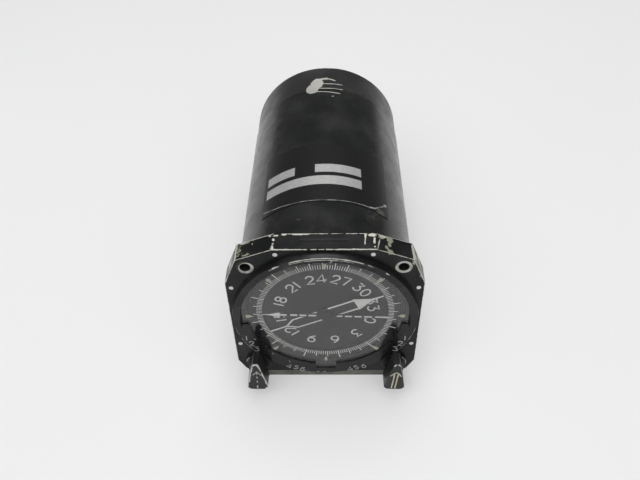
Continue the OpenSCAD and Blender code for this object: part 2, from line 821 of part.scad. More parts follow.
module cover_posts() {
    color(alloy) round_at(post_turns, post_reach) difference() {
        disc(post_r, board_y + board_t, cover_inner_y);
        disc(screw_r + seat_gap, cover_inner_y - cover_spigot, cover_inner_y + over);
    }
}

module case_tube() {
    color(black) tube(tube_r, tube_r - tube_wall, neck_len, tube_len);
}

// Cup that closes the case, with a spigot inside the tube
module rear_cover() {
    inner_r = spigot_r - cover_wall;
    color(satin) difference() {
        turned() polygon(concat([[0, tube_len - cover_spigot], [spigot_r, tube_len - cover_spigot],
            [spigot_r, tube_len], [cover_r, tube_len]],
            arc(cover_r - cover_round, cover_rear_y - cover_round, cover_round, 0, 90),
            [[0, cover_rear_y]]));
        disc(inner_r, tube_len - cover_spigot - over, cover_inner_y);
        disc(insert_r + shaft_gap, cover_inner_y - over, cover_rear_y + over);
        round_at(post_turns, post_reach) disc(screw_r + seat_gap, cover_inner_y - over, cover_rear_y + over);
        for (a = post_turns) conn_screw_at(a)
            disc(screw_r + seat_gap, cover_inner_y - over, cover_rear_y + over);
    }
}

module conn_screw_at(a) {
    rotate([0, -a, 0]) at(conn_pitch / 2, conn_pitch / 2) children();
}

module cover_screws() {
    color(steel) round_at(post_turns, post_reach) screw(cover_rear_y, cover_end_t + cover_spigot / 2, -1);
}

module id_plate() {
    ro = tube_r + seat_gap + label_t;
    reach = 2 * tube_r;
    color([0.16, 0.16, 0.17]) intersection() {
        tube(ro, tube_r + seat_gap, label_start, label_start + label_len);
        slab(0, tube_len) polygon([[0, 0], [-reach * sin(label_half), reach * cos(label_half)],
            [reach * sin(label_half), reach * cos(label_half)]]);
    }
}

module connector_shell() {
    color([0.5, 0.5, 0.42]) difference() {
        union() {
            slab(cover_rear_y, cover_rear_y + conn_flange_t) rounded_square(conn_flange, conn_corner);
            disc(conn_r, cover_rear_y, conn_rear_y);
            for (a = [30, 150, 270]) rotate([0, -a, 0])
                translate([conn_r - conn_wall / 2, conn_rear_y - bayonet_back, 0]) rotate([0, 90, 0])
                    cylinder(h = conn_wall / 2 + bayonet_h, r = bayonet_r);
        }
        disc(conn_r - conn_wall, insert_face_y, conn_rear_y + over);
        disc(insert_r + seat_gap, cover_rear_y - over, conn_rear_y);
        for (a = post_turns) conn_screw_at(a)
            disc(screw_r + seat_gap, cover_rear_y - over, cover_rear_y + conn_flange_t + over);
    }
}

module rounded_square(side, r) {
    k = side / 2 - r;
    polygon(concat(arc(k, k, r, 0, 90), arc(-k, k, r, 90, 180), arc(-k, -k, r, 180, 270),
        arc(k, -k, r, 270, 360)));
}

function contact_places() = concat([[0, 0]],
    [for (i = [0:5]) contact_pitch * [cos(60 * i), sin(60 * i)]],
    [for (i = [0:11]) 2 * contact_pitch * [cos(30 * i + 15), sin(30 * i + 15)]]);

module connector_insert() {
    color([0.75, 0.45, 0.2]) slab(cover_inner_y - insert_tail, insert_face_y) difference() {
        circle(insert_r);
        for (p = contact_places()) translate(p) circle(contact_r + seat_gap);
    }
}

module connector_contacts() {
    color([0.85, 0.7, 0.3]) slab(cover_inner_y - contact_tail, insert_face_y - contact_sink)
        for (p = contact_places()) translate(p) circle(contact_r, $fn = 24);
}

module connector_screws() {
    color(steel) for (a = post_turns) conn_screw_at(a)
        screw(cover_rear_y + conn_flange_t, conn_flange_t + cover_end_t, -1);
}

module switch_body(s) {
    color([0.2, 0.35, 0.55]) at(s * switch_x, -switch_x) difference() {
        disc(switch_r, front_plate_y + plate_t, front_plate_y + plate_t + switch_len);
        disc(knob_shaft_r + run_fit, front_plate_y, front_plate_y + plate_t + switch_len - switch_end);
    }
}

module left_switch() {
    switch_body(-1);
}

module right_switch() {
    switch_body(1);
}

module knob_bushes() {
    color([0.75, 0.6, 0.3]) for (s = [-1, 1]) at(s * knob_x, -knob_x) difference() {
        union() {
            disc(knob_bush_r, face_y, pocket_front_y);
            disc(knob_bush_r + bush_rim, face_y - bush_proud, face_y);
        }
        disc(knob_shaft_r + run_fit, face_y - over, pocket_front_y + over);
    }
}

module pocket_covers() {
    color(satin) slab(-pocket_cover_t, 0) {
        cover_shape(0);
        mirror([1, 0]) cover_shape(0);
    }
}

// Card of one pressing: the outer scale in front, the numbered middle set back behind a step
module compass_card() {
    inner_r = hub_r + shaft_gap;
    color(black) turned() polygon([[inner_r, card_mid_y], [card_mid_r, card_mid_y],
        [card_mid_r, card_face_y], [card_r, card_face_y], [card_r, card_face_y + card_t],
        [card_mid_r + card_t, card_face_y + card_t], [card_mid_r + card_t, card_rear_y],
        [inner_r, card_rear_y]]);
}

module card_hub() {
    hub_rear_y = works_y - shaft_gap;
    color(alloy) difference() {
        union() {
            disc(hub_flange_r, card_rear_y, card_rear_y + hub_flange_t);
            disc(hub_r, card_rear_y - card_t / 2, hub_rear_y);
        }
        disc(hub_bore, card_rear_y - card_t, hub_rear_y + over);
    }
}

module card_gear() {
    color([0.8, 0.65, 0.3]) gear(card_teeth, hub_r + seat_gap / 2, gear_front_y);
}

// Front pointer: one broad bar with a slender arrowhead to the left and a thin tail
module single_pointer() {
    w = bar_w / 2;
    body = body_w / 2;
    tail = pointer_tail;
    color(white_paint) slab(single_front_y, single_rear_y) rotate(-single_turn) difference() {
        union() {
            circle(pointer_hub_r);
            polygon([[-single_base, body], [-single_base, single_head_w / 2], [-needle_x, needle_w / 2],
                [-pointer_len, tip_w / 2], [-pointer_len, -tip_w / 2], [-needle_x, -needle_w / 2],
                [-single_base, -single_head_w / 2], [-single_base, -body], [body_end, -body],
                [body_end, -w], [tail, -w], [tail, w], [body_end, w], [body_end, body]]);
        }
        circle(shaft_r + seat_gap / 2);
    }
}

module single_shaft() {
    color(steel) {
        disc(shaft_r, single_front_y, single_synchro_y + synchro_len - housing_wall - rotor_gap);
        disc(cap_r, single_front_y - glass_gap / 3, single_front_y);
    }
}

module single_rotor() {
    color([0.7, 0.4, 0.25]) rotor(synchro_r, single_synchro_y, synchro_len, shaft_r + seat_gap / 2);
}

// Rear pointer: two bars that carry a broad head and join in one tail
module double_pointer() {
    b = bar_spread / 2;
    w = bar_w / 2;
    tail = pointer_tail;
    color(white_paint) slab(double_front_y, double_rear_y) rotate(double_turn) difference() {
        polygon([[-tail, -w], [-join_x, -w], [-fork_x, -b - w], [double_base, -b - w],
            [double_base, -double_head_w / 2], [needle_x, -needle_w / 2], [pointer_len, -tip_w / 2],
            [pointer_len, tip_w / 2], [needle_x, needle_w / 2], [double_base, double_head_w / 2],
            [double_base, b + w], [-fork_x, b + w], [-join_x, w], [-tail, w]]);
        window_shape(double_base, 0);
        mirror([1, 0]) window_shape(fork_x, join_x - fork_x - w);
        circle(sleeve_bore);
    }
}

// Opening between the bars on one side of the hub, up to x and on to a point
module window_shape(x, point) {
    k = (bar_spread - bar_w) / 2;
    inner_x = pointer_hub_r + shaft_gap;
    polygon([[inner_x, k], [inner_x, -k], [x, -k], [x + point, 0], [x, k]]);
}

module double_sleeve() {
    rear = works_y + synchro_len - housing_wall / 2;
    color(steel) tube(sleeve_r, sleeve_bore, double_rear_y, rear);
}

module double_rotor() {
    color([0.7, 0.4, 0.25]) rotor(synchro_r, works_y, synchro_len, sleeve_r + seat_gap / 2);
}

module motor_pinion() {
    turn = mesh_turn(card_teeth, pinion_teeth, motor_direction);
    color([0.8, 0.65, 0.3]) at(-motor_x, motor_x)
        gear(pinion_teeth, shaft_r + seat_gap / 2, gear_front_y, turn);
}

// Turn that puts a tooth gap of the second gear on a tooth of the first, where they meet
function mesh_turn(teeth_a, teeth_b, direction) =
    let (tooth_a = direction * teeth_a / 360, phase = tooth_a - floor(tooth_a))
    direction + 180 + (phase + 0.5) * 360 / teeth_b;

module motor_rotor() {
    color([0.7, 0.4, 0.25]) at(-motor_x, motor_x) {
        rotor(motor_r, works_y, motor_len, shaft_r - seat_gap);
        disc(shaft_r, gear_front_y - rotor_gap, works_y + motor_len - housing_wall - rotor_gap);
    }
}

module heading_gear() {
    turn = mesh_turn(card_teeth, card_teeth, heading_direction);
    color([0.8, 0.65, 0.3]) at(heading_x, heading_x)
        gear(card_teeth, shaft_r + seat_gap / 2, gear_front_y, turn);
}

module heading_rotor() {
    color([0.7, 0.4, 0.25]) at(heading_x, heading_x) {
        rotor(synchro_r, works_y, synchro_len, shaft_r - seat_gap);
        disc(shaft_r, gear_front_y - rotor_gap, works_y + synchro_len - housing_wall - rotor_gap);
    }
}

module grip_outline() {
    base_k = knob_w / 2 - knob_round;
    tip_k = knob_tip_w / 2 - tip_round;
    polygon(concat(arc(base_k, -knob_base + knob_round, knob_round, -90, 0, 6),
        arc(tip_k, knob_apex - tip_round, tip_round, 0, 90, 5),
        arc(-tip_k, knob_apex - tip_round, tip_round, 90, 180, 5),
        arc(-base_k, -knob_base + knob_round, knob_round, 180, 270, 6)));
}

module knob(s, slip) {
    front_y = face_y - knob_front;
    grip_rear_y = face_y - grip_gap;
    skirt_rear_y = face_y - knob_gap;
    color(satin) at(s * knob_x, -knob_x) difference() {
        union() {
            slab(front_y, grip_rear_y) rotate(-slip) grip_outline();
            disc(boss_r, grip_rear_y - over, skirt_rear_y);
            disc(skirt_r, skirt_rear_y - skirt_t, skirt_rear_y);
        }
        disc(knob_shaft_r + seat_gap, front_y + knob_skin, face_y);
        set_screw_place(slip) translate([0, 0, -knob_base - over])
            cylinder(h = knob_base + over, r = set_screw_r + seat_gap);
    }
}

// Line of the set screw, from below through the middle of the grip
module set_screw_place(slip) {
    rotate([0, slip, 0]) translate([0, face_y - (knob_front + grip_gap) / 2, 0]) children();
}

module knob_shaft(s) {
    turn = mesh_turn(switch_teeth, knob_teeth, -90 + s * knob_direction);
    color(steel) at(s * knob_x, -knob_x) {
        disc(knob_shaft_r, face_y - knob_front + knob_skin + shaft_gap, knob_gear_y + gear_w);
        gear(knob_teeth, knob_shaft_r - seat_gap, knob_gear_y, turn);
    }
}

module knob_set_screw(s, slip) {
    color(steel) at(s * knob_x, -knob_x) set_screw_place(slip)
        translate([0, 0, -knob_shaft_r - seat_gap - set_screw_len])
            cylinder(h = set_screw_len, r = set_screw_r);
}

module switch_gear(s) {
    color([0.8, 0.65, 0.3]) at(s * switch_x, -switch_x) {
        gear(switch_teeth, knob_shaft_r - seat_gap, knob_gear_y);
        disc(knob_shaft_r, knob_gear_y, front_plate_y + plate_t + switch_len - switch_end - rotor_gap);
    }
}

module left_knob() {
    knob(-1, 0);
}

module left_knob_shaft() {
    knob_shaft(-1);
}

module left_set_screw() {
    knob_set_screw(-1, 0);
}

module right_knob() {
    knob(1, right_knob_slip);
}

module right_knob_shaft() {
    knob_shaft(1);
}

module right_set_screw() {
    knob_set_screw(1, right_knob_slip);
}

module left_switch_gear() {
    switch_gear(-1);
}

module right_switch_gear() {
    switch_gear(1);
}

bezel_flange();
mounting_bushes();
face_screws();
bezel_ring();
cover_glass();
glass_gasket();
dial_mask();
index_marks();
dial_lamps();
front_plate();
plate_screws();
card_bearings();
gear_plate();
short_posts();
long_posts();
rear_plate();
card_motor();
heading_synchro();
double_synchro();
single_synchro();
board_posts();
servo_board();
board_parts();
wiring_loom();
cover_posts();
case_tube();
rear_cover();
cover_screws();
id_plate();
connector_shell();
connector_insert();
connector_contacts();
connector_screws();
left_switch();
right_switch();
knob_bushes();
pocket_covers();
compass_card();
card_hub();
card_gear();
single_pointer();
single_shaft();
single_rotor();
double_pointer();
double_sleeve();
double_rotor();
motor_pinion();
motor_rotor();
heading_gear();
heading_rotor();
left_knob();
left_knob_shaft();
left_set_screw();
right_knob();
right_knob_shaft();
right_set_screw();
left_switch_gear();
right_switch_gear();
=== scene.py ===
"""The looks of a round cockpit indicator, from its front flange to the socket on its rear end."""

import math

import bmesh
import bpy
import numpy as np
from mathutils import Matrix, Vector


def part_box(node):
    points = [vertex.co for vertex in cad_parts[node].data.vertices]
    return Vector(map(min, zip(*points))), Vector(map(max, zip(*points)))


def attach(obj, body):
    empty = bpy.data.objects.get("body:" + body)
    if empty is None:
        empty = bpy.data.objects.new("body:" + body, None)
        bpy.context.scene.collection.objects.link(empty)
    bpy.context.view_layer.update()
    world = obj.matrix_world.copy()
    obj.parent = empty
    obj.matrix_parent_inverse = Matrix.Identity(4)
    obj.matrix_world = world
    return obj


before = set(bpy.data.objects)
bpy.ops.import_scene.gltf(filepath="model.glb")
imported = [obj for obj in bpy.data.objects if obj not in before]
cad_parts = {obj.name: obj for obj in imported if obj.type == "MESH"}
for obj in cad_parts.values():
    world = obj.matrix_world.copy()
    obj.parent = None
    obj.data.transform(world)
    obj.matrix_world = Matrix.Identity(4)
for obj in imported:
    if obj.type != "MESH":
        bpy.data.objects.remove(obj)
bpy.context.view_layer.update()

# Bezel flange: one cast alloy front, machined, then sprayed satin black. Years of handling have
# rubbed its upper edges and corners through to primer and bare metal.
MM = 0.001
flange_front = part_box("bezel_flange")[0].y
flange_paint = (0.009, 0.0095, 0.01, 1)
primer_tan = (0.36, 0.34, 0.27, 1)
bare_alloy = (0.62, 0.61, 0.57, 1)
top_edge = 41.1
outline_right = [(20.2, top_edge), (35.3, 35.3), (40.6, 22.0), (40.6, -30.3)]
bevel_top = -38.9


def add_node(tree, kind, inputs=None, **settings):
    """Adds a shader node with its own settings, and gives each named input a value or a link."""
    node = tree.nodes.new(kind)
    for key, value in settings.items():
        setattr(node, key, value)
    for key, value in (inputs or {}).items():
        if isinstance(value, bpy.types.NodeSocket):
            tree.links.new(value, node.inputs[key])
        else:
            node.inputs[key].default_value = value
    return node


def calc(tree, operation, *values):
    """The result of a Math node on one, two or three values."""
    return add_node(tree, "ShaderNodeMath", dict(enumerate(values)), operation=operation).outputs[0]


def vector_calc(tree, operation, *values, out=0):
    """The result of a Vector Math node; out 1 is its single value."""
    node = add_node(tree, "ShaderNodeVectorMath", dict(enumerate(values)), operation=operation)
    return node.outputs[out]


def fade(tree, value, low, high, bottom=0.0, top=1.0):
    """A smooth step from bottom, where the value is low, to top, where it is high."""
    inputs = {"Value": value, "From Min": low, "From Max": high, "To Min": bottom, "To Max": top}
    return add_node(tree, "ShaderNodeMapRange", inputs, interpolation_type="SMOOTHSTEP").outputs[0]


def noise(tree, where, scale, detail=2.0):
    """Soft noise from 0 to 1, with scale waves to the metre."""
    inputs = {"Vector": where, "Scale": scale, "Detail": detail}
    return add_node(tree, "ShaderNodeTexNoise", inputs).outputs[0]


def mixed(tree, share, first, second):
    """The first colour where the share is 0, and the second where it is 1."""
    inputs = {0: share, 6: first, 7: second}
    return add_node(tree, "ShaderNodeMix", inputs, data_type="RGBA").outputs[2]


def off_axis(tree, place, centre=(0, 0, 0)):
    """How far a point lies from the line along Y through the centre, which is in metres."""
    offset = vector_calc(tree, "SUBTRACT", place, centre)
    return vector_calc(tree, "LENGTH", vector_calc(tree, "MULTIPLY", offset, (1, 0, 1)), out=1)


def new_group(name, inputs, outputs):
    """An empty node group with these inputs and outputs, each a name, a kind and a start value."""
    tree = bpy.data.node_groups.new(name, "ShaderNodeTree")
    for way, sockets in (("INPUT", inputs), ("OUTPUT", outputs)):
        for label, kind, start in sockets:
            socket = tree.interface.new_socket(label, in_out=way, socket_type="NodeSocket" + kind)
            if start is not None:
                socket.default_value = start
    given, result = tree.nodes.new("NodeGroupInput"), tree.nodes.new("NodeGroupOutput")
    return tree, given.outputs, result.inputs


def make_line_group():
    """Rub along a straight line: 1 on the line from Start to End, and 0 at Reach from it."""
    sockets = [("Place", "Vector", None), ("Start", "Vector", None), ("End", "Vector", None),
               ("Reach", "Float", 0.001)]
    tree, given, result = new_group("line_rub", sockets, [("Rub", "Float", 0.0)])
    way = vector_calc(tree, "SUBTRACT", given["End"], given["Start"])
    here = vector_calc(tree, "SUBTRACT", given["Place"], given["Start"])
    along = calc(tree, "DIVIDE", vector_calc(tree, "DOT_PRODUCT", here, way, out=1),
                 vector_calc(tree, "DOT_PRODUCT", way, way, out=1))
    along = calc(tree, "MINIMUM", calc(tree, "MAXIMUM", along, 0.0), 1.0)
    nearest = add_node(tree, "ShaderNodeVectorMath", {0: way, "Scale": along}, operation="SCALE")
    apart = vector_calc(tree, "DISTANCE", here, nearest.outputs[0], out=1)
    share = calc(tree, "SUBTRACT", 1.0, calc(tree, "DIVIDE", apart, given["Reach"]))
    tree.links.new(calc(tree, "MAXIMUM", share, 0.0), result["Rub"])
    return tree


def make_spot_group():
    """Rub in an egg-shaped spot: 1 at its Centre, and 0 where the distance over Size reaches 1."""
    sockets = [("Place", "Vector", None), ("Centre", "Vector", None), ("Size", "Vector", (MM, MM, MM))]
    tree, given, result = new_group("spot_rub", sockets, [("Rub", "Float", 0.0)])
    offset = vector_calc(tree, "SUBTRACT", given["Place"], given["Centre"])
    apart = vector_calc(tree, "LENGTH", vector_calc(tree, "DIVIDE", offset, given["Size"]), out=1)
    share = calc(tree, "SUBTRACT", 1.0, apart)
    tree.links.new(calc(tree, "MAXIMUM", share, 0.0), result["Rub"])
    return tree


def make_paint_group():
    """Old sprayed paint: orange peel, faint dust, and chips to primer and metal where Rub is high."""
    sockets = [("Place", "Vector", None), ("Rub", "Float", 0.0), ("Paint", "Color", flange_paint),
               ("Primer", "Color", primer_tan), ("Metal", "Color", bare_alloy), ("Dust", "Float", 0.1),
               ("Gloss Roughness", "Float", 0.3)]
    results = [("Color", "Color", None), ("Roughness", "Float", 0.4), ("Metallic", "Float", 0.0),
               ("Height", "Float", 0.0)]
    tree, given, result = new_group("worn_paint", sockets, results)
    place = given["Place"]
    coarse = calc(tree, "SUBTRACT", noise(tree, place, 330.0, 3.0), 0.5)
    fine = calc(tree, "SUBTRACT", noise(tree, place, 1700.0, 2.0), 0.5)
    ragged = calc(tree, "MULTIPLY_ADD", coarse, 1.7, fine)
    gate = fade(tree, given["Rub"], 0.0, 0.2)
    chip = calc(tree, "MULTIPLY_ADD", ragged, gate, given["Rub"])
    metal = fade(tree, chip, 0.5, 0.62)
    primer = fade(tree, chip, 0.34, 0.42)
    cloud = noise(tree, place, 55.0, 4.0)
    specks = fade(tree, noise(tree, place, 2600.0, 1.0), 0.7, 0.8)
    settled = calc(tree, "ADD", fade(tree, cloud, 0.42, 0.8), specks)
    dust = calc(tree, "MULTIPLY", given["Dust"], settled)
    skin = mixed(tree, dust, given["Paint"], (0.32, 0.32, 0.3, 1))
    layer = mixed(tree, primer, skin, given["Primer"])
    tree.links.new(mixed(tree, metal, layer, given["Metal"]), result["Color"])
    smear = fade(tree, noise(tree, place, 120.0, 3.0), 0.3, 0.7, -0.05, 0.07)
    dull = calc(tree, "ADD", given["Gloss Roughness"], smear)
    dull = calc(tree, "MULTIPLY_ADD", primer, 0.22, dull)
    tree.links.new(calc(tree, "MULTIPLY_ADD", metal, -0.12, dull), result["Roughness"])
    tree.links.new(calc(tree, "MULTIPLY", metal, 0.45), result["Metallic"])
    peel = calc(tree, "MULTIPLY", noise(tree, place, 1500.0, 2.0), 0.12)
    sunk = calc(tree, "MULTIPLY_ADD", primer, -0.5, calc(tree, "MULTIPLY_ADD", metal, -0.3, peel))
    tree.links.new(sunk, result["Height"])
    return tree


line_rub = make_line_group()
spot_rub = make_spot_group()
worn_paint = make_paint_group()


def object_place(tree):
    """The point on the piece, in the object's own frame."""
    return tree.nodes.new("ShaderNodeTexCoord").outputs["Object"]


def use_group(tree, group, inputs):
    """Places a node group and returns it."""
    return add_node(tree, "ShaderNodeGroup", inputs, node_tree=group)


def metres(point):
    """A point in metres from one in millimetres."""
    return [MM * value for value in point]


def strongest(tree, rubs):
    """The largest of several rubs."""
    most = rubs[0]
    for rub in rubs[1:]:
        most = calc(tree, "MAXIMUM", most, rub)
    return most


def rub_lines(tree, place, lines):
    """The rub of several lines, each a start, an end and a reach, in millimetres."""
    rubs = []
    for start, end, reach in lines:
        inputs = {"Place": place, "Start": metres(start), "End": metres(end), "Reach": reach * MM}
        rubs.append(use_group(tree, line_rub, inputs).outputs[0])
    return strongest(tree, rubs)


def rub_spots(tree, place, spots):
    """The rub of several spots, each a centre and a size in millimetres and a strength."""
    rubs = []
    for centre, size, strength in spots:
        inputs = {"Place": place, "Centre": metres(centre), "Size": metres(size)}
        rub = use_group(tree, spot_rub, inputs).outputs[0]
        rubs.append(calc(tree, "MULTIPLY", rub, strength))
    return strongest(tree, rubs)


def new_material(name, **sockets):
    """A material with one Principled shader, whose sockets get these plain values."""
    material = bpy.data.materials.new(name)
    material.use_nodes = True
    tree = material.node_tree
    shader = tree.nodes["Principled BSDF"]
    for key, value in sockets.items():
        shader.inputs[key.replace("_", " ")].default_value = value
    return material, tree, shader


def link_surface(tree, shader, height=None, depth=0.0, **results):
    """Links each result to the shader's socket of that name, and makes a bump from the height, with
    its depth in millimetres."""
    if height is not None:
        bump = add_node(tree, "ShaderNodeBump", {"Height": height, "Distance": depth * MM})
        results["Normal"] = bump.outputs[0]
    for key, result in results.items():
        tree.links.new(result, shader.inputs[key.replace("_", " ")])


def painted(name, rub_of, shine=0.25, tint_of=None, **paint):
    """A worn paint material. rub_of makes the rub from the tree and the place, tint_of the paint's
    colour, and the rest goes to the paint's own sockets."""
    material, tree, shader = new_material(name, Specular_IOR_Level=shine)
    place = object_place(tree)
    inputs = {key.replace("_", " "): value for key, value in paint.items()}
    if tint_of:
        inputs["Paint"] = tint_of(tree, place)
    coat = use_group(tree, worn_paint, {"Place": place, "Rub": rub_of(tree, place), **inputs}).outputs
    link_surface(tree, shader, coat["Height"], 0.06, Base_Color=coat["Color"],
                 Roughness=coat["Roughness"], Metallic=coat["Metallic"])
    return material


def dress(names, material):
    """Gives the material to these nodes of the frame."""
    for name in names:
        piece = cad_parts[name]
        if not piece.material_slots:
            piece.data.materials.append(material)
        for slot in piece.material_slots:
            slot.link = "OBJECT"
            slot.material = material


def flange_rub(tree, place):
    """Broken bright lines along the upper edges, and chips to primer on the corner cuts."""
    front = flange_front / MM
    high = top_edge
    lines = [((left, 0, high), (right, 0, high), reach) for left, right, reach in (
        (-16.6, -5.1, 0.6), (-4.8, -0.2, 0.5), (0.3, 1.5, 0.42), (2.9, 7.4, 0.45), (8.8, 12.9, 0.45),
        (14.1, 16.9, 0.45))]
    lines += [((left, front, high), (right, front, high), reach) for left, right, reach in (
        (-20.2, -6.9, 0.5), (-5.0, -3.1, 0.55), (-1.9, -0.1, 0.55), (1.0, 20.2, 0.52),
        (9.4, 11.4, 0.8))]
    lines += [((-12.3, -0.4, high), (-10.5, -0.4, high), 0.6),
              ((-9.7, -0.4, high), (-6.7, -0.3, high), 0.7),
              ((16.3, 0, high), (15.9, -6.0, high), 0.35), ((16.3, 0, high), (16.2, -2.4, high), 0.75),
              ((19.8, -2.8, high), (19.6, -5.4, high), 0.55),
              ((21.8, -3.0, 40.5), (20.6, -8.8, 41.0), 0.34)]
    for way, rear_reach in ((-1, 0.6), (1, 0.32)):
        fronts = [(way * x, front, z) for x, z in outline_right]
        backs = [(way * x, 0, z) for x, z in outline_right]
        for edge, reach, steep_reach in ((fronts, 0.27, 0.45), (backs, rear_reach, rear_reach + 0.4)):
            lines += [(edge[0], edge[1], reach), (edge[1], edge[2], steep_reach)]
        lines += [(fronts[1], backs[1], 0.9), (fronts[2], fronts[3], 0.3)]
    spots = [((-15.8, -0.1, high), (1.7, 1.2, 1), 1.6), ((-18.9, -1.1, high), (2.0, 0.9, 1), 1.3),
             ((-19.9, -3.4, high), (0.8, 1.1, 1), 1.3), ((-20.0, -5.7, high), (0.7, 0.8, 1), 1.2),
             ((-20.2, -8.0, high), (0.8, 2.0, 1), 1.3), ((-21.4, -0.4, 40.6), (0.8, 1.6, 1), 1.6),
             ((-32.5, 0, 36.4), (3.4, 2.0, 2.2), 1.25), ((-28.5, -2.4, 37.9), (0.35, 0.9, 1), 0.75),
             ((-38.2, -3.4, 28.0), (3.2, 7.4, 9), 0.68),
             ((19.1, -0.9, high), (2.4, 1.3, 1), 1.4), ((19.7, -7.5, high), (0.7, 0.8, 1), 1.2),
             ((22.8, -0.4, 40.1), (2.4, 1.4, 1.5), 1.3), ((35.9, -5.6, 33.6), (2.6, 7.5, 4.6), 0.66),
             ((38.4, -4.4, 27.6), (3.0, 7.0, 8.4), 0.64)]
    return calc(tree, "MAXIMUM", rub_lines(tree, place, lines), rub_spots(tree, place, spots))


def flange_tint(tree, place):
    """Black, olive grey in streaks on the bevel along the bottom edge, worn to olive grey in patches on
    the shoulders, with a paler strip along the top and beside it a fine near-black line of painted
    shade."""
    parts = add_node(tree, "ShaderNodeSeparateXYZ", {0: place}).outputs
    low = fade(tree, parts["Z"], (bevel_top - 0.25) * MM, (bevel_top + 0.15) * MM, 1.0, 0.0)
    streaks = fade(tree, noise(tree, place, 180.0, 4.0), 0.3, 0.62, 0.55, 1.0)
    worn = mixed(tree, calc(tree, "MULTIPLY", low, streaks), flange_paint, (0.165, 0.17, 0.14, 1))
    patches = rub_spots(tree, place, [
        ((25.9, -1.6, 38.9), (1.9, 2.6, 2), 3.0), ((25.6, -4.4, 39.0), (0.9, 1.5, 2), 3.0),
        ((24.4, -6.4, 39.5), (0.9, 1.4, 2), 3.0), ((25.7, -8.1, 39.0), (1.8, 1.4, 2), 3.0),
        ((22.4, -1.6, 40.3), (1.6, 1.2, 2), 2.0), ((35.4, -4.2, 35.2), (1.0, 6.0, 2.4), 2.2),
        ((-35.2, -1.6, 35.4), (1.1, 3.4, 2), 3.0), ((-34.0, -4.4, 35.8), (3.2, 6.0, 3), 1.0),
        ((-31.2, -7.6, 36.9), (4.6, 1.8, 3), 0.95), ((-31.0, -0.8, 37.0), (5.0, 1.9, 3), 1.05)])
    wave = calc(tree, "SUBTRACT", noise(tree, place, 900.0, 3.0), 0.5)
    ragged = calc(tree, "MULTIPLY_ADD", wave, 2.2, patches)
    patch = calc(tree, "MULTIPLY", fade(tree, ragged, 0.55, 0.95), fade(tree, patches, 0.0, 0.3))
    worn = mixed(tree, patch, worn, (0.25, 0.25, 0.19, 1))
    strip = rub_lines(tree, place, [((-9.2, -3.3, top_edge), (9.4, -3.3, top_edge), 0.9)])
    # Painted shade: a near-black line across the top, as the shadow at a step.
    groove_shade = rub_lines(tree, place, [((-9.2, -4.3, top_edge), (9.4, -4.3, top_edge), 0.5)])
    worn = mixed(tree, fade(tree, strip, 0.2, 0.6, 0.0, 0.5), worn, (0.03, 0.031, 0.035, 1))
    return mixed(tree, fade(tree, groove_shade, 0.1, 0.5), worn, (0.001, 0.001, 0.001, 1))


dress(["bezel_flange", "pocket_covers"],
      painted("flange_paint", flange_rub, 0.16, tint_of=flange_tint, Dust=0.07))

# Mounting bushes: turned steel sleeves pressed into the two upper corners, dull with grime.
hole_half = 31.4325
bush_bore = 2.1
bush_centres = [(-hole_half, hole_half), (hole_half, hole_half)]
bright_faces = [(-hole_half + 0.5, hole_half - 0.6, 3.2), (hole_half, hole_half - 0.2, 3.4)]
turning_pitch = 0.22


def bush_finish():
    """Turned metal: fine rings round each bush's centre and patches of grime, with the bore painted
    near-black as the shade inside the hole, and black paint outside each bright face."""
    material, tree, shader = new_material("bush_steel")
    place = object_place(tree)
    left, right = [off_axis(tree, place, (x * MM, 0, z * MM)) for x, z in bush_centres]
    far = calc(tree, "MINIMUM", left, right)
    rings = calc(tree, "SINE", calc(tree, "MULTIPLY", far, 2 * math.pi / (turning_pitch * MM)))
    dirt = fade(tree, noise(tree, place, 420.0, 4.0), 0.45, 0.75, 0.0, 0.5)
    shade = mixed(tree, dirt, (0.5, 0.5, 0.46, 1), (0.09, 0.085, 0.07, 1))
    faces = []
    for x, z, radius in bright_faces:
        reach = off_axis(tree, place, (x * MM, 0, z * MM))
        faces.append(fade(tree, reach, (radius - 0.12) * MM, (radius + 0.12) * MM, 1.0, 0.0))
    # The near-black at the bore is painted shade; outside each bright face it is black paint.
    bright = calc(tree, "MULTIPLY", fade(tree, far, (bush_bore + 0.05) * MM, (bush_bore + 0.2) * MM),
                  strongest(tree, faces))
    link_surface(tree, shader, rings, 0.004, Metallic=calc(tree, "MULTIPLY", bright, 0.6),
                 Base_Color=mixed(tree, bright, (0.012, 0.011, 0.009, 1), shade),
                 Roughness=calc(tree, "MULTIPLY_ADD", dirt, 0.4, 0.45))
    return material


dress(["mounting_bushes"], bush_finish())

# Face screws: six small screws sunk in the face, their heads filled and dotted with white paint.


def dotted_paint(name, colour, stain):
    """Brushed-on paint: a little uneven, with darker stains."""
    material, tree, shader = new_material(name, Roughness=0.55)
    place = object_place(tree)
    patch = fade(tree, noise(tree, place, 900.0, 4.0), 0.48, 0.72, 0.0, 0.6)
    link_surface(tree, shader, noise(tree, place, 2200.0, 3.0), 0.03,
                 Base_Color=mixed(tree, patch, colour, stain))
    return material


dress(["face_screws"], dotted_paint("dot_paint", (0.72, 0.73, 0.72, 1), (0.35, 0.34, 0.3, 1)))

# Bezel ring: a spun ring that clamps the glass, flat below and raised to a brow above. The crest
# of the brow is painted bright at the top, partly as metal rubbed bare and partly as a painted
# highlight where it faces the light above, and its rim shows as a thin light line.
ring_crest = 38.75
ring_rim = 39.7
brow_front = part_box("bezel_ring")[0].y / MM
land_front = flange_front / MM - 0.5


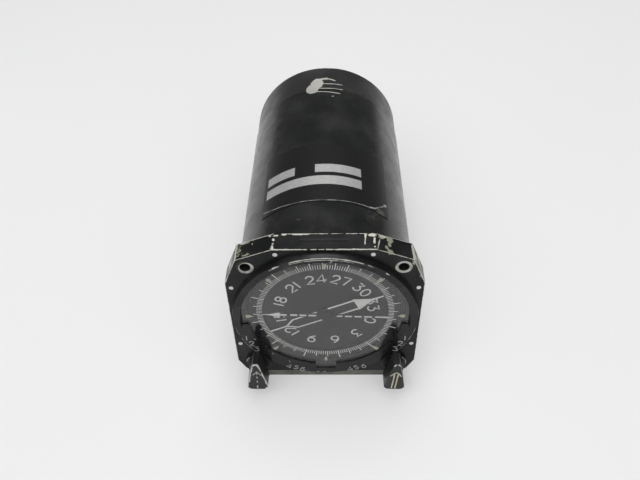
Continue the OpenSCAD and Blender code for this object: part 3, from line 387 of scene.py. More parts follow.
def make_arc_group():
    """Rub along an arc round the Y axis: 1 at Radius and Depth, 0 at Reach from there, and only from
    Low to High. The angle runs clockwise from the top, in degrees."""
    sockets = [("Place", "Vector", None), ("Radius", "Float", 0.0363), ("Depth", "Float", 0.0),
               ("Reach", "Float", 0.0005), ("Low", "Float", -20.0), ("High", "Float", 20.0)]
    tree, given, result = new_group("arc_rub", sockets, [("Rub", "Float", 0.0)])
    parts = add_node(tree, "ShaderNodeSeparateXYZ", {0: given["Place"]}).outputs
    turn = calc(tree, "DEGREES", calc(tree, "ARCTAN2", parts["X"], parts["Z"]))
    out = calc(tree, "SUBTRACT", off_axis(tree, given["Place"]), given["Radius"])
    ahead = calc(tree, "SUBTRACT", parts["Y"], given["Depth"])
    square = calc(tree, "MULTIPLY_ADD", out, out, calc(tree, "MULTIPLY", ahead, ahead))
    apart = calc(tree, "DIVIDE", calc(tree, "SQRT", square), given["Reach"])
    share = calc(tree, "MAXIMUM", calc(tree, "SUBTRACT", 1.0, apart), 0.0)
    starts = fade(tree, calc(tree, "SUBTRACT", turn, given["Low"]), -1.0, 2.5)
    ends = fade(tree, calc(tree, "SUBTRACT", given["High"], turn), -1.0, 2.5)
    tree.links.new(calc(tree, "MULTIPLY", share, calc(tree, "MULTIPLY", starts, ends)), result["Rub"])
    return tree


arc_rub = make_arc_group()


def rub_arcs(tree, place, arcs):
    """The rub of several arcs, each a radius, a depth, a reach, two angles and a strength."""
    rubs = []
    for radius, depth, reach, low, high, strength in arcs:
        inputs = {"Place": place, "Radius": radius * MM, "Depth": depth * MM, "Reach": reach * MM,
                  "Low": low, "High": high}
        rubs.append(calc(tree, "MULTIPLY", use_group(tree, arc_rub, inputs).outputs[0], strength))
    return strongest(tree, rubs)


def ring_rub(tree, place):
    """A bright line on the brow's outer edge with finer ones inside it, and short patches to its left
    and right, partly rubbed metal and partly a painted highlight along the top of the brow; a short
    slanted light line near the top; and thin light lines on the rim below."""
    # Arcs on the brow's top: wear, and also a painted highlight where the brow faces the light.
    arcs = [(ring_crest, brow_front, 0.42, -21, 24.5, 1.35), (37.8, brow_front, 0.28, -13, 12, 1.1),
            (37.9, brow_front, 0.22, -22, 19, 0.8), (38.55, brow_front, 0.3, -35.5, -29, 0.8),
            (38.7, brow_front, 0.34, -32.5, -26, 0.85), (39.05, brow_front, 0.26, -33, -27.5, 0.7),
            (38.8, brow_front, 0.3, 25.5, 30, 1.0), (38.85, brow_front, 0.36, 38.2, 42, 1.3),
            (ring_rim, land_front, 0.22, -140, -80, 0.72), (ring_rim, land_front, 0.22, 80, 140, 0.66)]
    lines = [((1.6, brow_front, 35.0), (3.2, brow_front, 37.7), 0.38)]
    return calc(tree, "MAXIMUM", rub_arcs(tree, place, arcs), rub_lines(tree, place, lines))


dress(["bezel_ring"], painted("ring_paint", ring_rub, Dust=0.06, Paint=(0.011, 0.011, 0.0125, 1)))

# Cover glass: a flat round pane, plain and clear, with faint wiping marks. The gasket behind it is
# a flat rubber ring.


def let_through(tree, share, shader):
    """Mixes a clear surface over the shader by the share, and links the result to the output."""
    clear = add_node(tree, "ShaderNodeBsdfTransparent").outputs[0]
    mix = add_node(tree, "ShaderNodeMixShader", {0: share, 1: shader, 2: clear})
    tree.links.new(mix.outputs[0], tree.nodes["Material Output"].inputs[0])


def pane_finish():
    """Clear glass that light also passes straight through on its way to the dial."""
    material, tree, shader = new_material("pane", Transmission_Weight=1.0, IOR=1.45, Roughness=0.0)
    wiped = vector_calc(tree, "MULTIPLY", object_place(tree), (1.0, 1.0, 3.0))
    smears = fade(tree, noise(tree, wiped, 60.0, 5.0), 0.4, 0.8)
    link_surface(tree, shader, Base_Color=mixed(tree, smears, (1, 1, 1, 1), (0.95, 0.95, 0.94, 1)))
    shadow_ray = add_node(tree, "ShaderNodeLightPath").outputs["Is Shadow Ray"]
    let_through(tree, shadow_ray, shader.outputs[0])
    return material


def rubber_finish():
    """Moulded rubber: matt, with a fine pitted skin."""
    material, tree, shader = new_material("gasket_rubber")
    place = object_place(tree)
    pits = noise(tree, place, 3000.0, 3.0)
    bloom = fade(tree, noise(tree, place, 240.0, 3.0), 0.4, 0.8, 0.0, 0.25)
    link_surface(tree, shader, pits, 0.02, Roughness=fade(tree, pits, 0.2, 0.8, 0.65, 0.85),
                 Base_Color=mixed(tree, bloom, (0.02, 0.02, 0.02, 1), (0.2, 0.19, 0.18, 1)))
    return material


dress(["cover_glass"], pane_finish())
dress(["glass_gasket"], rubber_finish())

# Dial mask and index marks: a fixed ring round the card in the dial's matt dark grey, and small
# cream marks before it on the glass, every 45 degrees, with a drop-shaped one at the bottom.


def scaled(colour, factor):
    """A colour made lighter or darker."""
    return [factor * value for value in colour[:3]] + [1]


def matt_dial(name, colour):
    """Dull sprayed dial paint with a very fine grain and a few dust specks."""
    material, tree, shader = new_material(name, Specular_IOR_Level=0.12)
    place = object_place(tree)
    cloud = fade(tree, noise(tree, place, 300.0, 4.0), 0.3, 0.75, 0.0, 0.3)
    specks = fade(tree, noise(tree, place, 1900.0, 1.0), 0.74, 0.8, 0.0, 0.5)
    shade = mixed(tree, cloud, colour, scaled(colour, 1.7))
    link_surface(tree, shader, noise(tree, place, 5000.0, 2.0), 0.01,
                 Base_Color=mixed(tree, specks, shade, (0.14, 0.14, 0.13, 1)),
                 Roughness=fade(tree, noise(tree, place, 800.0, 2.0), 0.3, 0.7, 0.6, 0.75))
    return material


dress(["dial_mask"], matt_dial("mask_paint", (0.014, 0.0145, 0.017, 1)))
dress(["index_marks"], dotted_paint("aged_cream", (0.46, 0.44, 0.35, 1), (0.28, 0.26, 0.2, 1)))

# Compass card: a pressed alloy disc in matt black, with a printed scale on its outer ring and
# numbers every thirty degrees on its middle, which lies a step behind.
heading = 251.5
card_low, card_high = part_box("compass_card")
card_face = card_low.y / MM
card_middle = card_high.y / MM - 0.6
scale_inner = 27.35
tick_sizes = [(29.8, 0.27), (31.2, 0.36), (32.7, 0.44)]
number_reach = 20.45
number_shift = 0.2
number_height = 4.7
number_stroke = 0.72
print_thickness = 0.03


def printed_white(name, colour, stain):
    """Printed dial white, a little uneven with age."""
    material, tree, shader = new_material(name, Roughness=0.6)
    patch = fade(tree, noise(tree, object_place(tree), 700.0, 4.0), 0.4, 0.75, 0.0, 0.55)
    link_surface(tree, shader, Base_Color=mixed(tree, patch, colour, stain))
    return material


dial_white = printed_white("dial_white", (0.6, 0.605, 0.585, 1), (0.42, 0.42, 0.39, 1))
scale_white = printed_white("scale_white", (0.78, 0.78, 0.74, 1), (0.52, 0.52, 0.48, 1))


def carry(path, width, front, thickness, closed=False):
    """A flat bar carried along a path of (x, z) points: each point is moved half the width to both
    sides, square to the path's direction there, and gets a front and a back. Returns points, faces."""
    path = np.asarray(path, float)
    if closed:
        along = np.roll(path, -1, 0) - np.roll(path, 1, 0)
    else:
        along = np.gradient(path, axis=0)
    along /= np.linalg.norm(along, axis=1, keepdims=True)
    side = np.stack([-along[:, 1], along[:, 0]], 1) * width / 2
    rails = np.stack([path + side, path - side, path - side, path + side], 1)
    back = front + thickness
    depth = np.broadcast_to(np.array([front, front, back, back]), rails.shape[:2])
    points = np.stack([rails[..., 0], depth, rails[..., 1]], -1)
    count = len(path)
    steps = np.arange(count if closed else count - 1)[:, None]
    here = 4 * steps
    ahead = 4 * ((steps + 1) % count)
    rail = np.arange(4)[None, :]
    turned = (rail + 1) % 4
    faces = np.stack([here + rail, here + turned, ahead + turned, ahead + rail], -1).reshape(-1, 4)
    if not closed:
        ends = np.array([[3, 2, 1, 0], 4 * (count - 1) + np.arange(4)])
        faces = np.concatenate([faces, ends])
    return points.reshape(-1, 3), faces


def piece_of(name, parts, material, body):
    """One mesh piece from several (points, faces), in millimetres, riding on a body."""
    starts = np.cumsum([0] + [len(points) for points, _ in parts[:-1]])
    points = np.concatenate([points for points, _ in parts]) * MM
    faces = np.concatenate([group + start for start, (_, group) in zip(starts, parts)]).tolist()
    mesh = bpy.data.meshes.new(name)
    mesh.from_pydata(points.tolist(), [], faces)
    shape = bmesh.new()
    shape.from_mesh(mesh)
    bmesh.ops.recalc_face_normals(shape, faces=shape.faces)
    shape.to_mesh(mesh)
    shape.free()
    mesh.materials.append(material)
    piece = bpy.data.objects.new(name, mesh)
    bpy.context.scene.collection.objects.link(piece)
    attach(piece, body)
    return piece


def around(turn, radius):
    """The point (x, z) at that angle clockwise from the top."""
    return np.array([radius * math.sin(math.radians(turn)), radius * math.cos(math.radians(turn))])


def scale_marks():
    """A radial bar every two degrees, longer every ten and longest every thirty."""
    parts = []
    for value in range(0, 360, 2):
        kind = (value % 10 == 0) + (value % 30 == 0)
        outer, width = tick_sizes[kind]
        turn = value - heading
        path = [around(turn, scale_inner), around(turn, outer)]
        parts.append(carry(path, width, card_face - print_thickness, print_thickness))
    return parts


def bow(cx, cz, rx, rz, start, end, count=14):
    """Points of an ellipse's arc between two angles in degrees, counter-clockwise from the right."""
    turn = np.radians(np.linspace(start, end, count))
    return np.stack([cx + rx * np.cos(turn), cz + rz * np.sin(turn)], 1)


def straight(*points):
    """Points of a bent line."""
    return np.array(points, float)


def joined(*pieces):
    """Several runs of points as one path."""
    return np.concatenate(pieces)


digit_width = 0.6
digit_spread = 1.1
digit_gap = 0.32
one_room = 0.14
digit_paths = {
    "0": [(bow(0.3, 0.5, 0.3, 0.5, 90, 430, 28), True)],
    "1": [(straight((0.3, 0), (0.3, 1)), False)],
    "2": [(joined(bow(0.3, 0.7, 0.29, 0.3, 172, -30), straight((0, 0), (0.6, 0))), False)],
    "3": [(joined(straight((0.04, 1), (0.56, 1), (0.24, 0.6)),
                  bow(0.28, 0.31, 0.31, 0.31, 80, -150)), False)],
    "4": [(straight((0.52, 0), (0.52, 1), (-0.06, 0.27), (0.74, 0.27)), False)],
    "5": [(joined(straight((0.54, 1), (0.12, 1), (0.08, 0.56)),
                  bow(0.28, 0.33, 0.31, 0.33, 120, -150)), False)],
    "6": [(bow(0.3, 0.31, 0.3, 0.31, 90, 430, 24), True),
          (joined(straight((0.5, 1)), bow(0.62, 0.34, 0.62, 0.62, 110, 180, 8)), False)],
    "7": [(straight((0, 1), (0.6, 1), (0.2, 0)), False)],
    "8": [(bow(0.3, 0.26, 0.3, 0.26, 90, 430, 24), True),
          (bow(0.3, 0.76, 0.25, 0.24, 90, 430, 22), True)],
    "9": [(bow(0.3, 0.69, 0.3, 0.31, 90, 430, 24), True),
          (joined(straight((0.1, 0)), bow(-0.02, 0.66, 0.62, 0.62, -70, 0, 8)), False)],
}


def write_number(text, centre, turn, height, width, front):
    """Plain numerals about a centre, turned clockwise by turn, each digit drawn from its own bars. A 1
    takes less room than the other digits."""
    rooms = [one_room if digit == "1" else digit_width * digit_spread for digit in text]
    rooms = np.array(rooms) + digit_gap
    middles = (np.cumsum(rooms) - rooms / 2 - rooms.sum() / 2) * height
    right = around(turn + 90, 1.0)
    up = around(turn, 1.0)
    parts = []
    for shift, digit in zip(middles, text):
        for path, closed in digit_paths[digit]:
            local = (path - [digit_width / 2, 0.5]) * [digit_spread * height, height]
            spots = centre + (local[:, :1] + shift) * right + local[:, 1:] * up
            if closed:
                spots = spots[:-1]
            parts.append(carry(spots, width, front, print_thickness, closed))
    return parts


def card_numbers():
    """The tens of degrees, every thirty, with their tops outward."""
    front = card_middle - print_thickness
    parts = []
    for value in range(0, 36, 3):
        turn = value * 10 - heading
        centre = around(turn, number_reach) + [number_shift, 0]
        parts += write_number(str(value), centre, turn, number_height, number_stroke, front)
    return parts


dress(["compass_card"], matt_dial("card_paint", (0.009, 0.0095, 0.011, 1)))
piece_of("card_scale", scale_marks(), scale_white, "card")
piece_of("card_numbers", card_numbers(), dial_white, "card")

# Pointers: thin blades in black, with the parts that show painted white. The front one is a single
# dashed bar with a slender head, and the rear one two bars with a broad head and one tail.
front_turn = -87.6
rear_turn = 64.3
bar_offset = 2.75
front_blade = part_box("single_pointer")[0].y / MM
rear_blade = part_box("double_pointer")[0].y / MM


def ray(turn, offset, *radii):
    """Points on a line beside a pointer's own line, offset to its left, at these distances out."""
    return [around(turn, radius) + around(turn - 90, offset) for radius in radii]


def wedge(turn, near, far, half_near, half_far, front):
    """A flat wedge along a pointer, from one half width to another."""
    parts = carry(ray(turn, 0, near, far), 2.0, front, print_thickness)
    points = parts[0].reshape(2, 4, 3)
    middle = np.stack([around(turn, near), around(turn, far)])
    flat = points[..., [0, 2]] - middle[:, None]
    flat *= np.array([half_near, half_far])[:, None, None]
    points[..., [0, 2]] = middle[:, None] + flat
    return points.reshape(-1, 3), parts[1]


def front_marks():
    """Four dashes each side, a slender head on one end and a plain line on the other."""
    front = front_blade - print_thickness
    parts = [wedge(front_turn, 19.6, 24.2, 1.5, 0.35, front),
             wedge(front_turn, 24.2, 27.6, 0.35, 0.15, front)]
    for near, far in ((3.8, 7.2), (8.1, 11.0), (12.0, 15.1), (16.6, 19.6)):
        parts.append(carry(ray(front_turn, 0, near, far), 0.95, front, print_thickness))
    for near, far in ((5.0, 7.4), (8.5, 11.5), (12.6, 15.6), (16.7, 20.2), (21.5, 27.2)):
        parts.append(carry(ray(front_turn + 180, 0, near, far), 0.85, front, print_thickness))
    return parts


def rear_marks():
    """Two bars and a broad head on one end, two bars that join in one line on the other."""
    front = rear_blade - print_thickness
    parts = [wedge(rear_turn, 14.6, 21.8, 3.7, 0.6, front),
             wedge(rear_turn, 21.8, 27.4, 0.6, 0.3, front)]
    for side in (-bar_offset, bar_offset):
        parts.append(carry(ray(rear_turn, side, 2.6, 14.7), 0.85, front, print_thickness))
        tail = ray(rear_turn + 180, side, 2.6, 14.5) + ray(rear_turn + 180, side * 0.12, 18.4)
        parts.append(carry(tail, 0.78, front, print_thickness))
    parts.append(carry(ray(rear_turn + 180, 0, 18.0, 27.1), 0.82, front, print_thickness))
    return parts


dress(["single_pointer", "double_pointer", "single_shaft", "double_sleeve", "card_hub"],
      matt_dial("blade_paint", (0.009, 0.0095, 0.0105, 1)))
piece_of("front_pointer_marks", front_marks(), dial_white, "front_pointer")
piece_of("rear_pointer_marks", rear_marks(), dial_white, "rear_pointer")

# Selector knobs: wedge-shaped grips moulded in black plastic, each held on its shaft by a set
# screw. Their edges are rubbed pale, the upper outer rim of each skirt carries a pale line that is
# partly wear and partly a painted highlight, and each face has a painted arrow of its pointer's kind.
knob_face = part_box("left_knob")[0].y / MM
knob_x = hole_half - 0.5
knob_z = -knob_x
slip = 2.5
skirt_radius = 5.8
skirt_front = flange_front / MM - 1.6
grip_corners = [(-4.65, -4.0), (-1.5, 11.1), (-0.6, 12.15), (0.6, 12.15), (1.5, 11.1), (4.65, -4.0)]
left_lean = 2.6
right_lean = 4.8


def knob_point(way, turn, x, z):
    """A point of a knob's face, given across and up its grip, in the row's own x and z."""
    return np.array([way * knob_x, knob_z]) + around(turn + 90, 1.0) * x + around(turn, 1.0) * z


def grip_edges(way, turn, side_reach, corner_reach, flat_reach, run_reach):
    """The edges of a grip's face and the one that runs back from its tip's outer corner, each with
    its own reach of wear, and a chip at the foot's inner corner."""
    spots = [knob_point(way, turn, x, z) for x, z in grip_corners]
    reaches = [side_reach, corner_reach, flat_reach, corner_reach, side_reach]
    lines = []
    for start, end, reach in zip(spots[:-1], spots[1:], reaches):
        lines.append(((start[0], knob_face, start[1]), (end[0], knob_face, end[1]), reach))
    tip = spots[4 if way > 0 else 1]
    foot = knob_point(way, turn, -4.0 * way, -5.6)
    for (x, z), depth, reach in ((tip, 7, run_reach), (foot, 0.5, 0.9)):
        lines.append(((x, knob_face, z), (x, knob_face + depth, z), reach))
    return lines


def knob_finish(name, way, turn, reaches, rim_wear_and_highlight):
    """Black moulded plastic with pale rubbed edges, and a pale line on the skirt's rim, partly wear and
    partly a painted highlight where the rim faces the light: its reach, its two angles and its
    strength."""
    lines = grip_edges(way, turn, *reaches)
    centre = metres((way * knob_x, 0, knob_z))

    def rub(tree, place):
        off_centre = vector_calc(tree, "SUBTRACT", place, centre)
        # The skirt's rim line: partly wear, partly a painted highlight.
        rim = rub_arcs(tree, off_centre, [(skirt_radius, skirt_front, *rim_wear_and_highlight)])
        return calc(tree, "MAXIMUM", rim, rub_lines(tree, place, lines))

    return painted(name, rub, Dust=0.12, Paint=(0.014, 0.0145, 0.015, 1), Primer=(0.3, 0.3, 0.28, 1),
                   Metal=(0.62, 0.63, 0.6, 1))


def knob_bar(way, turn, spots, width):
    """A painted bar along a path on a knob's face."""
    path = [knob_point(way, turn, x, z) for x, z in spots]
    return carry(path, width, knob_face - print_thickness, print_thickness)


def left_arrow():
    """A chevron and a short stem over three short dashes, leaning a little."""
    parts = [knob_bar(-1, left_lean, [(-1.8, 4.5), (0, 7.2), (1.8, 4.5)], 0.55)]
    for low, high in ((-5.5, -3.5), (-1.2, 0.1), (2.1, 3.3), (5.0, 6.9)):
        parts.append(knob_bar(-1, left_lean, [(0, low), (0, high)], 0.6))
    return parts


def right_arrow():
    """A double bar that ends in an open arrowhead with a rounded top."""
    shapes = [[(-0.8, -5.8), (-0.8, 5.4)], [(0.8, -5.8), (0.8, 5.4)],
              [(-2.4, 3.6), (-0.9, 5.8), (0, 6.3), (0.9, 5.8), (2.4, 3.6)]]
    return [knob_bar(1, right_lean, shape, 0.6) for shape in shapes]


# The last group in each call is the skirt's rim line: partly wear, partly a painted highlight.
dress(["left_knob"],
      knob_finish("left_grip", -1, 0, (0.8, 0.8, 0.75, 0.6), (0.6, -78, -42, 1.0)))
dress(["right_knob"],
      knob_finish("right_grip", 1, slip, (0.02, 0.5, 0.05, 0.65), (0.35, 36, 104, 0.62)))
faded_print = dotted_paint("faded_print", (0.42, 0.42, 0.4, 1), (0.2, 0.2, 0.19, 1))
piece_of("left_knob_arrow", left_arrow(), faded_print, "left_selector")
arrow_cream = dotted_paint("arrow_cream", (0.55, 0.53, 0.4, 1), (0.38, 0.36, 0.26, 1))
piece_of("right_knob_arrow", right_arrow(), arrow_cream, "right_selector")

# Position marks: three plain numbers at each of a knob's two places, printed on the ring, with
# short dashes by its inner and lower edges.


def position_marks():
    """The numbers 1 to 3 where a knob points up, and 4 to 6 where it points a quarter turn inward."""
    land = land_front - print_thickness
    parts = []
    for way in (-1, 1):
        for text, x, z in (("1", 35.1, -13.7), ("2", 33.2, -17.6), ("3", 31.2, -21.6)):
            parts += write_number(text, np.array([way * x, z]), 0, 3.0, 0.44, land)
        for text, x, z in zip("456"[::-way], (17.4, 14.0, 11.0), (-34.8, -35.9, -37.1)):
            parts += write_number(text, np.array([way * x, z]), -21 * way, 2.8, 0.42, land)
    for x, z, turn in ((-31.4, -14.5, 115), (-24.2, -25.0, 136), (-16.8, -31.1, 152),
                       (-3.7, -39.2, 90), (-0.7, -39.2, 90)):
        ends = np.array([x, z]) + np.array([[-0.5], [0.5]]) * around(turn, 1.0)
        parts.append(carry(ends, 0.35, land, print_thickness))
    return parts


piece_of("position_marks", position_marks(), faded_print, "case")

# Case tube: drawn alloy tube in satin black, smooth, with one scrape to bare metal at the top of its
# rear end and a faint stain at its front.


def make_unrolled_group():
    """A point on a tube laid flat: the way round from the top, times Radius, and the way along."""
    sockets = [("Place", "Vector", None), ("Radius", "Float", 0.0395)]
    tree, given, result = new_group("unrolled", sockets, [("Flat", "Vector", None)])
    parts = add_node(tree, "ShaderNodeSeparateXYZ", {0: given["Place"]}).outputs
    turn = calc(tree, "ARCTAN2", parts["X"], parts["Z"])
    round_way = calc(tree, "MULTIPLY", turn, given["Radius"])
    flat = add_node(tree, "ShaderNodeCombineXYZ", {0: round_way, 1: parts["Y"]})
    tree.links.new(flat.outputs[0], result["Flat"])
    return tree


unrolled = make_unrolled_group()
tube_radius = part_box("case_tube")[1].x / MM


def laid_flat(tree, place):
    """The point on the case, laid flat."""
    return use_group(tree, unrolled, {"Place": place, "Radius": tube_radius * MM}).outputs[0]


def scrape_rub(tree, place):
    """The scrape across the joint: a ragged patch on the left, and streaks that run right from it. It
    stays on the outside, off the cover's rear face."""
    flat = laid_flat(tree, place)
    spots = [((-6.9, 112.6, 0), (3.8, 5.1, 5), 4.5), ((-4.6, 117.6, 0), (3.7, 5.3, 5), 4.5)]
    lines = [((-6.0, 120.4, 0), (0.6, 122.2, 0), 1.4), ((0.6, 122.4, 0), (5.0, 120.6, 0), 0.7),
             ((-3.0, 117.0, 0), (8.8, 117.0, 0), 0.5), ((-3.0, 112.4, 0), (9.0, 112.4, 0), 0.48),
             ((-6.0, 109.2, 0), (7.4, 107.6, 0), 0.54), ((3.4, 104.4, 0), (4.1, 104.4, 0), 0.8),
             ((-3.2, 134.0, 0), (4.4, 134.0, 0), 1.3)]
    rub = calc(tree, "MAXIMUM", rub_spots(tree, flat, spots), rub_lines(tree, flat, lines))
    outside = fade(tree, off_axis(tree, place), (tube_radius - 1.0) * MM, (tube_radius - 0.5) * MM)
    return calc(tree, "MULTIPLY", rub, outside)


def tube_tint(tree, place):
    """Black, with faint olive stains near the flange, a larger one on the right."""
    flat = laid_flat(tree, place)
    stain = rub_spots(tree, flat, [((21.5, 18.0, 0), (5.0, 6.5, 5), 1.0),
                                   ((-11.0, 11.6, 0), (2.6, 1.2, 5), 0.9)])
    share = calc(tree, "MULTIPLY", stain, fade(tree, noise(tree, flat, 500.0, 3.0), 0.4, 0.65))
    return mixed(tree, share, flange_paint, (0.05, 0.047, 0.038, 1))


dress(["case_tube"],
      painted("tube_paint", scrape_rub, 0.5, tube_tint, Dust=0.05, Gloss_Roughness=0.24))

# Rear cover: a drawn alloy cup, pushed over the tube's end and held by screws. The scrape on the
# tube's top runs on over it.


def cover_tint(tree, place):
    """Thinner black than the tube's, with short pale scratches on the left."""
    flat = laid_flat(tree, place)
    scratches = rub_lines(tree, flat, [((-31.6, 119.6, 0), (-28.0, 118.2, 0), 0.7),
                                       ((-32.4, 117.4, 0), (-29.6, 117.0, 0), 0.6)])
    broken = fade(tree, noise(tree, flat, 700.0, 3.0), 0.4, 0.6, 0.1, 0.8)
    share = calc(tree, "MULTIPLY", fade(tree, scratches, 0.1, 0.9), broken)
    return mixed(tree, share, (0.02, 0.021, 0.02, 1), (0.12, 0.12, 0.11, 1))


dress(["rear_cover"],
      painted("cover_paint", scrape_rub, 0.5, cover_tint, Dust=0.08, Gloss_Roughness=0.33))

# Identity plate: thin metal foil bent round the case and stuck down, printed black with bare metal
# fields, a fine white border and a torn front corner. Its fields are left blank.
blank_fields = [((-28.2, 32.8, 0), (16.6, 38.8, 0)), ((-4.4, 41.3, 0), (16.6, 47.0, 0)),
                ((-28.0, 41.5, 0), (-13.7, 47.3, 0))]


def make_field_group():
    """A field on the flat plate: 1 inside Low and High, with a soft edge."""
    sockets = [("Place", "Vector", None), ("Low", "Vector", None), ("High", "Vector", None)]
    tree, given, result = new_group("plate_field", sockets, [("Inside", "Float", 0.0)])
    from_low = vector_calc(tree, "SUBTRACT", given["Place"], given["Low"])
    from_high = vector_calc(tree, "SUBTRACT", given["High"], given["Place"])
    least = vector_calc(tree, "MINIMUM", from_low, from_high)
    parts = add_node(tree, "ShaderNodeSeparateXYZ", {0: least}).outputs
    inside = calc(tree, "MINIMUM", parts["X"], parts["Y"])
    tree.links.new(fade(tree, inside, -0.05 * MM, 0.08 * MM), result["Inside"])
    return tree


plate_field = make_field_group()


def plate_finish():
    """Black print with three blank brushed metal fields, a worn white border line and a torn corner."""
    material, tree, shader = new_material("plate_print", Specular_IOR_Level=0.4)
    place = object_place(tree)
    flat = laid_flat(tree, place)
    fields = []
    for low, high in blank_fields:
        inputs = {"Place": flat, "Low": metres(low), "High": metres(high)}
        fields.append(use_group(tree, plate_field, inputs).outputs[0])
    bare = strongest(tree, fields)
    border = rub_lines(tree, flat, [
        ((-29.4, 25.2, 0), (-23.9, 23.6, 0), 0.3), ((-23.9, 23.6, 0), (-14.0, 22.5, 0), 0.24),
        ((-14.0, 22.5, 0), (1.0, 22.1, 0), 0.2), ((1.0, 22.1, 0), (19.8, 22.8, 0), 0.24),
        ((19.8, 22.8, 0), (22.6, 23.6, 0), 0.6), ((22.6, 23.6, 0), (28.6, 29.2, 0), 0.5),
        ((28.3, 29.0, 0), (29.0, 29.6, 0), 1.0)])
    worn = fade(tree, noise(tree, flat, 260.0, 3.0), 0.36, 0.62, 0.25, 1.0)
    line = calc(tree, "MULTIPLY", fade(tree, border, 0.15, 0.5), worn)
    brushed = noise(tree, vector_calc(tree, "MULTIPLY", flat, (0.12, 1.0, 1.0)), 3500.0, 2.0)
    silver = mixed(tree, fade(tree, brushed, 0.3, 0.7), (0.42, 0.42, 0.42, 1), (0.56, 0.56, 0.55, 1))
    dusty = fade(tree, noise(tree, flat, 700.0, 3.0), 0.5, 0.8, 0.0, 0.2)
    print_black = mixed(tree, dusty, (0.009, 0.0092, 0.0095, 1), (0.04, 0.04, 0.04, 1))
    corner = rub_spots(tree, flat, [((25.6, 22.8, 0), (2.6, 2.6, 5), 1.0)])
    torn = fade(tree, corner, 0.0, 0.4, 0.0, 0.8)
    print_black = mixed(tree, torn, print_black, (0.085, 0.085, 0.065, 1))
    shade = mixed(tree, bare, print_black, silver)
    sunk = calc(tree, "MULTIPLY_ADD", bare, -0.4, calc(tree, "MULTIPLY", brushed, 0.15))
    link_surface(tree, shader, sunk, 0.04, Base_Color=mixed(tree, line, shade, (0.4, 0.4, 0.39, 1)),
                 Metallic=calc(tree, "MULTIPLY", bare, 0.5),
                 Roughness=fade(tree, bare, 0.0, 1.0, 0.3, 0.5))
    return material


dress(["id_plate"], plate_finish())

# Works: alloy plates and posts, with turned steel shafts, brass gears and plated motor housings.


def machined(name, colour, metallic, roughness, scale):
    """Machined metal: fine straight tool marks, a little stained."""
    material, tree, shader = new_material(name, Metallic=metallic)
    place = object_place(tree)
    cut = noise(tree, vector_calc(tree, "MULTIPLY", place, (1.0, 0.2, 0.15)), scale, 2.0)
    stain = fade(tree, noise(tree, place, 200.0, 4.0), 0.45, 0.8, 0.0, 0.45)
    link_surface(tree, shader, cut, 0.01, Base_Color=mixed(tree, stain, colour, scaled(colour, 0.35)),
                 Roughness=fade(tree, cut, 0.3, 0.7, roughness - 0.06, roughness + 0.1))
    return material


dress(["front_plate", "gear_plate", "rear_plate", "short_posts", "long_posts", "board_posts",
       "cover_posts"], machined("alloy_plate", (0.62, 0.63, 0.64, 1), 0.9, 0.34, 2500.0))
dress(["plate_screws", "card_bearings", "cover_screws", "connector_screws", "left_knob_shaft",
       "right_knob_shaft", "left_set_screw", "right_set_screw"],
      machined("steel_bar", (0.5, 0.5, 0.49, 1), 0.95, 0.32, 3000.0))
dress(["card_gear", "motor_pinion", "heading_gear", "left_switch_gear", "right_switch_gear",
       "connector_contacts"], machined("brass_gear", (0.6, 0.42, 0.16, 1), 0.95, 0.34, 2500.0))
dress(["knob_bushes"], machined("blackened_steel", (0.035, 0.035, 0.036, 1), 0.6, 0.42, 2500.0))
dress(["card_motor", "heading_synchro", "double_synchro", "single_synchro"],
      machined("plated_housing", (0.42, 0.43, 0.44, 1), 0.85, 0.4, 1800.0))
dress(["single_rotor", "double_rotor", "motor_rotor", "heading_rotor"],
      machined("varnished_copper", (0.5, 0.2, 0.08, 1), 0.7, 0.35, 2800.0))

# Switches, board and wiring: moulded and laminated parts inside the case.


def moulded(name, colour, roughness=0.5):
    """Moulded or laminated plastic: slight mottling and a soft skin."""
    material, tree, shader = new_material(name)
    place = object_place(tree)
    mottle = fade(tree, noise(tree, place, 500.0, 4.0), 0.3, 0.8, 0.0, 0.4)
    link_surface(tree, shader, noise(tree, place, 2500.0, 2.0), 0.02,
                 Base_Color=mixed(tree, mottle, colour, scaled(colour, 0.55)),
                 Roughness=fade(tree, mottle, 0.0, 0.4, roughness - 0.05, roughness + 0.12))
    return material


dress(["left_switch", "right_switch"], moulded("switch_blue", (0.05, 0.1, 0.2, 1)))
dress(["servo_board"], moulded("laminate", (0.05, 0.14, 0.07, 1), 0.4))
dress(["board_parts"], moulded("board_parts_tan", (0.3, 0.22, 0.1, 1)))
dress(["wiring_loom"], moulded("wire_cover", (0.5, 0.47, 0.36, 1)))
dress(["dial_lamps"], moulded("lamp_bulb", (0.75, 0.72, 0.62, 1), 0.2))

# Rear connector: a plated shell with three bayonet pins, round an orange moulded insert.
dress(["connector_shell"], machined("olive_plating", (0.3, 0.3, 0.2, 1), 0.7, 0.42, 1500.0))
dress(["connector_insert"], moulded("insert_orange", (0.5, 0.19, 0.05, 1), 0.55))

# Floor, lamps and camera: a plain white table top that carries the flange's edge and the rear
# cover, under soft lamps, seen from above and in front.
floor_front = -43.22
floor_slope = (43.2 - 39.2) / 133.0
floor_reach = 2500.0


def floor_mesh():
    """A flat square, tilted so that it passes under the flange's edge and the rear cover."""
    across = np.array([-1.0, 1.0]) * floor_reach
    x, y = np.meshgrid(across, across)
    z = floor_front + floor_slope * y
    mesh = bpy.data.meshes.new("table_top")
    mesh.from_pydata((np.stack([x, y, z], -1).reshape(-1, 3) * MM).tolist(), [], [(0, 1, 3, 2)])
    return mesh


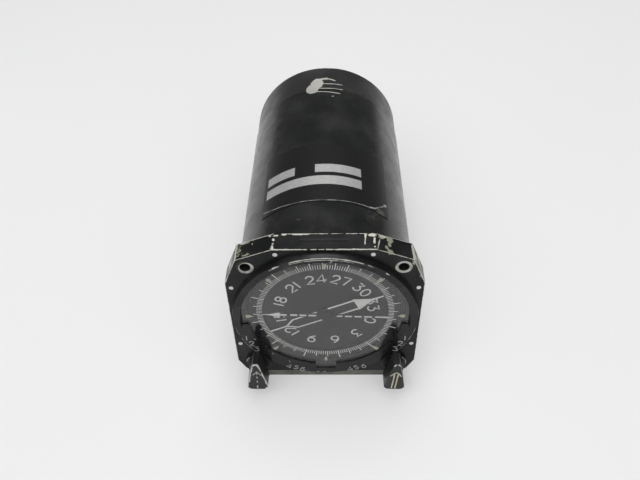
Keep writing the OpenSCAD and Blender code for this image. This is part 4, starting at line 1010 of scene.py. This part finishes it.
def table_finish():
    """Matt white that glows a little where the camera sees it, also in a reflection or through the
    glass, as the photo's overexposed table does. It is clear from below."""
    material, tree, shader = new_material("table_white", Roughness=0.7, Specular_IOR_Level=0.15)
    cloud = fade(tree, noise(tree, object_place(tree), 3.0, 2.0), 0.3, 0.7)
    shade = mixed(tree, cloud, (0.85, 0.85, 0.855, 1), (0.87, 0.87, 0.875, 1))
    link_surface(tree, shader, Base_Color=shade)
    glow = add_node(tree, "ShaderNodeEmission", {0: (0.84, 0.84, 0.845, 1), 1: 1.0}).outputs[0]
    rays = add_node(tree, "ShaderNodeLightPath").outputs
    seen = strongest(tree, [rays["Is Camera Ray"], rays["Is Glossy Ray"], rays["Is Transmission Ray"]])
    share = calc(tree, "MULTIPLY", seen, 0.4)
    lit = add_node(tree, "ShaderNodeMixShader", {0: share, 1: shader.outputs[0], 2: glow})
    under = add_node(tree, "ShaderNodeNewGeometry").outputs["Backfacing"]
    let_through(tree, under, lit.outputs[0])
    return material


def place_object(name, data, placing):
    """A new object in the scene, at this matrix."""
    thing = bpy.data.objects.new(name, data)
    thing.matrix_world = placing
    bpy.context.scene.collection.objects.link(thing)
    return thing


def soft_lamp(name, place, aim, size, power):
    """A square soft lamp that looks at a point."""
    lamp = bpy.data.lights.new(name, "AREA")
    lamp.size = size
    lamp.energy = power
    turn = (Vector(place) - Vector(aim)).to_track_quat("Z", "Y")
    place_object(name, lamp, Matrix.Translation(place) @ turn.to_matrix().to_4x4())


table_top = place_object("table_top", floor_mesh(), Matrix())
table_top.data.materials.append(table_finish())
soft_lamp("key_lamp", (-0.6, -0.65, 1.2), (0, 0, 0), 1.2, 9.6)
soft_lamp("fill_lamp", (0.55, -0.7, 1.1), (0, 0, 0), 1.2, 6.6)
soft_lamp("rear_lamp", (0, 0.5, 1.5), (0, 0.1, 0), 1.0, 12.5)
world = bpy.data.worlds.new("room")
world.use_nodes = True
world.node_tree.nodes["Background"].inputs[0].default_value = (0.125, 0.125, 0.127, 1)
bpy.context.scene.world = world

camera_place = (3.6, -184.3, 215.4)
camera_yaw, camera_pitch, camera_roll = 1.64, -43.97, -1.41
focal_pixels = 643.1
picture_width = 640.0
camera = bpy.data.cameras.new("camera")
camera.sensor_width = 36.0
camera.lens = focal_pixels / picture_width * camera.sensor_width
camera.clip_start = 0.01
view = (Matrix.Rotation(math.radians(camera_yaw), 4, "Z")
        @ Matrix.Rotation(math.radians(90 + camera_pitch), 4, "X")
        @ Matrix.Rotation(math.radians(camera_roll), 4, "Z"))
eye = place_object("camera", camera, Matrix.Translation(metres(camera_place)) @ view)
bpy.context.scene.camera = eye
bpy.context.scene.view_settings.view_transform = "Standard"
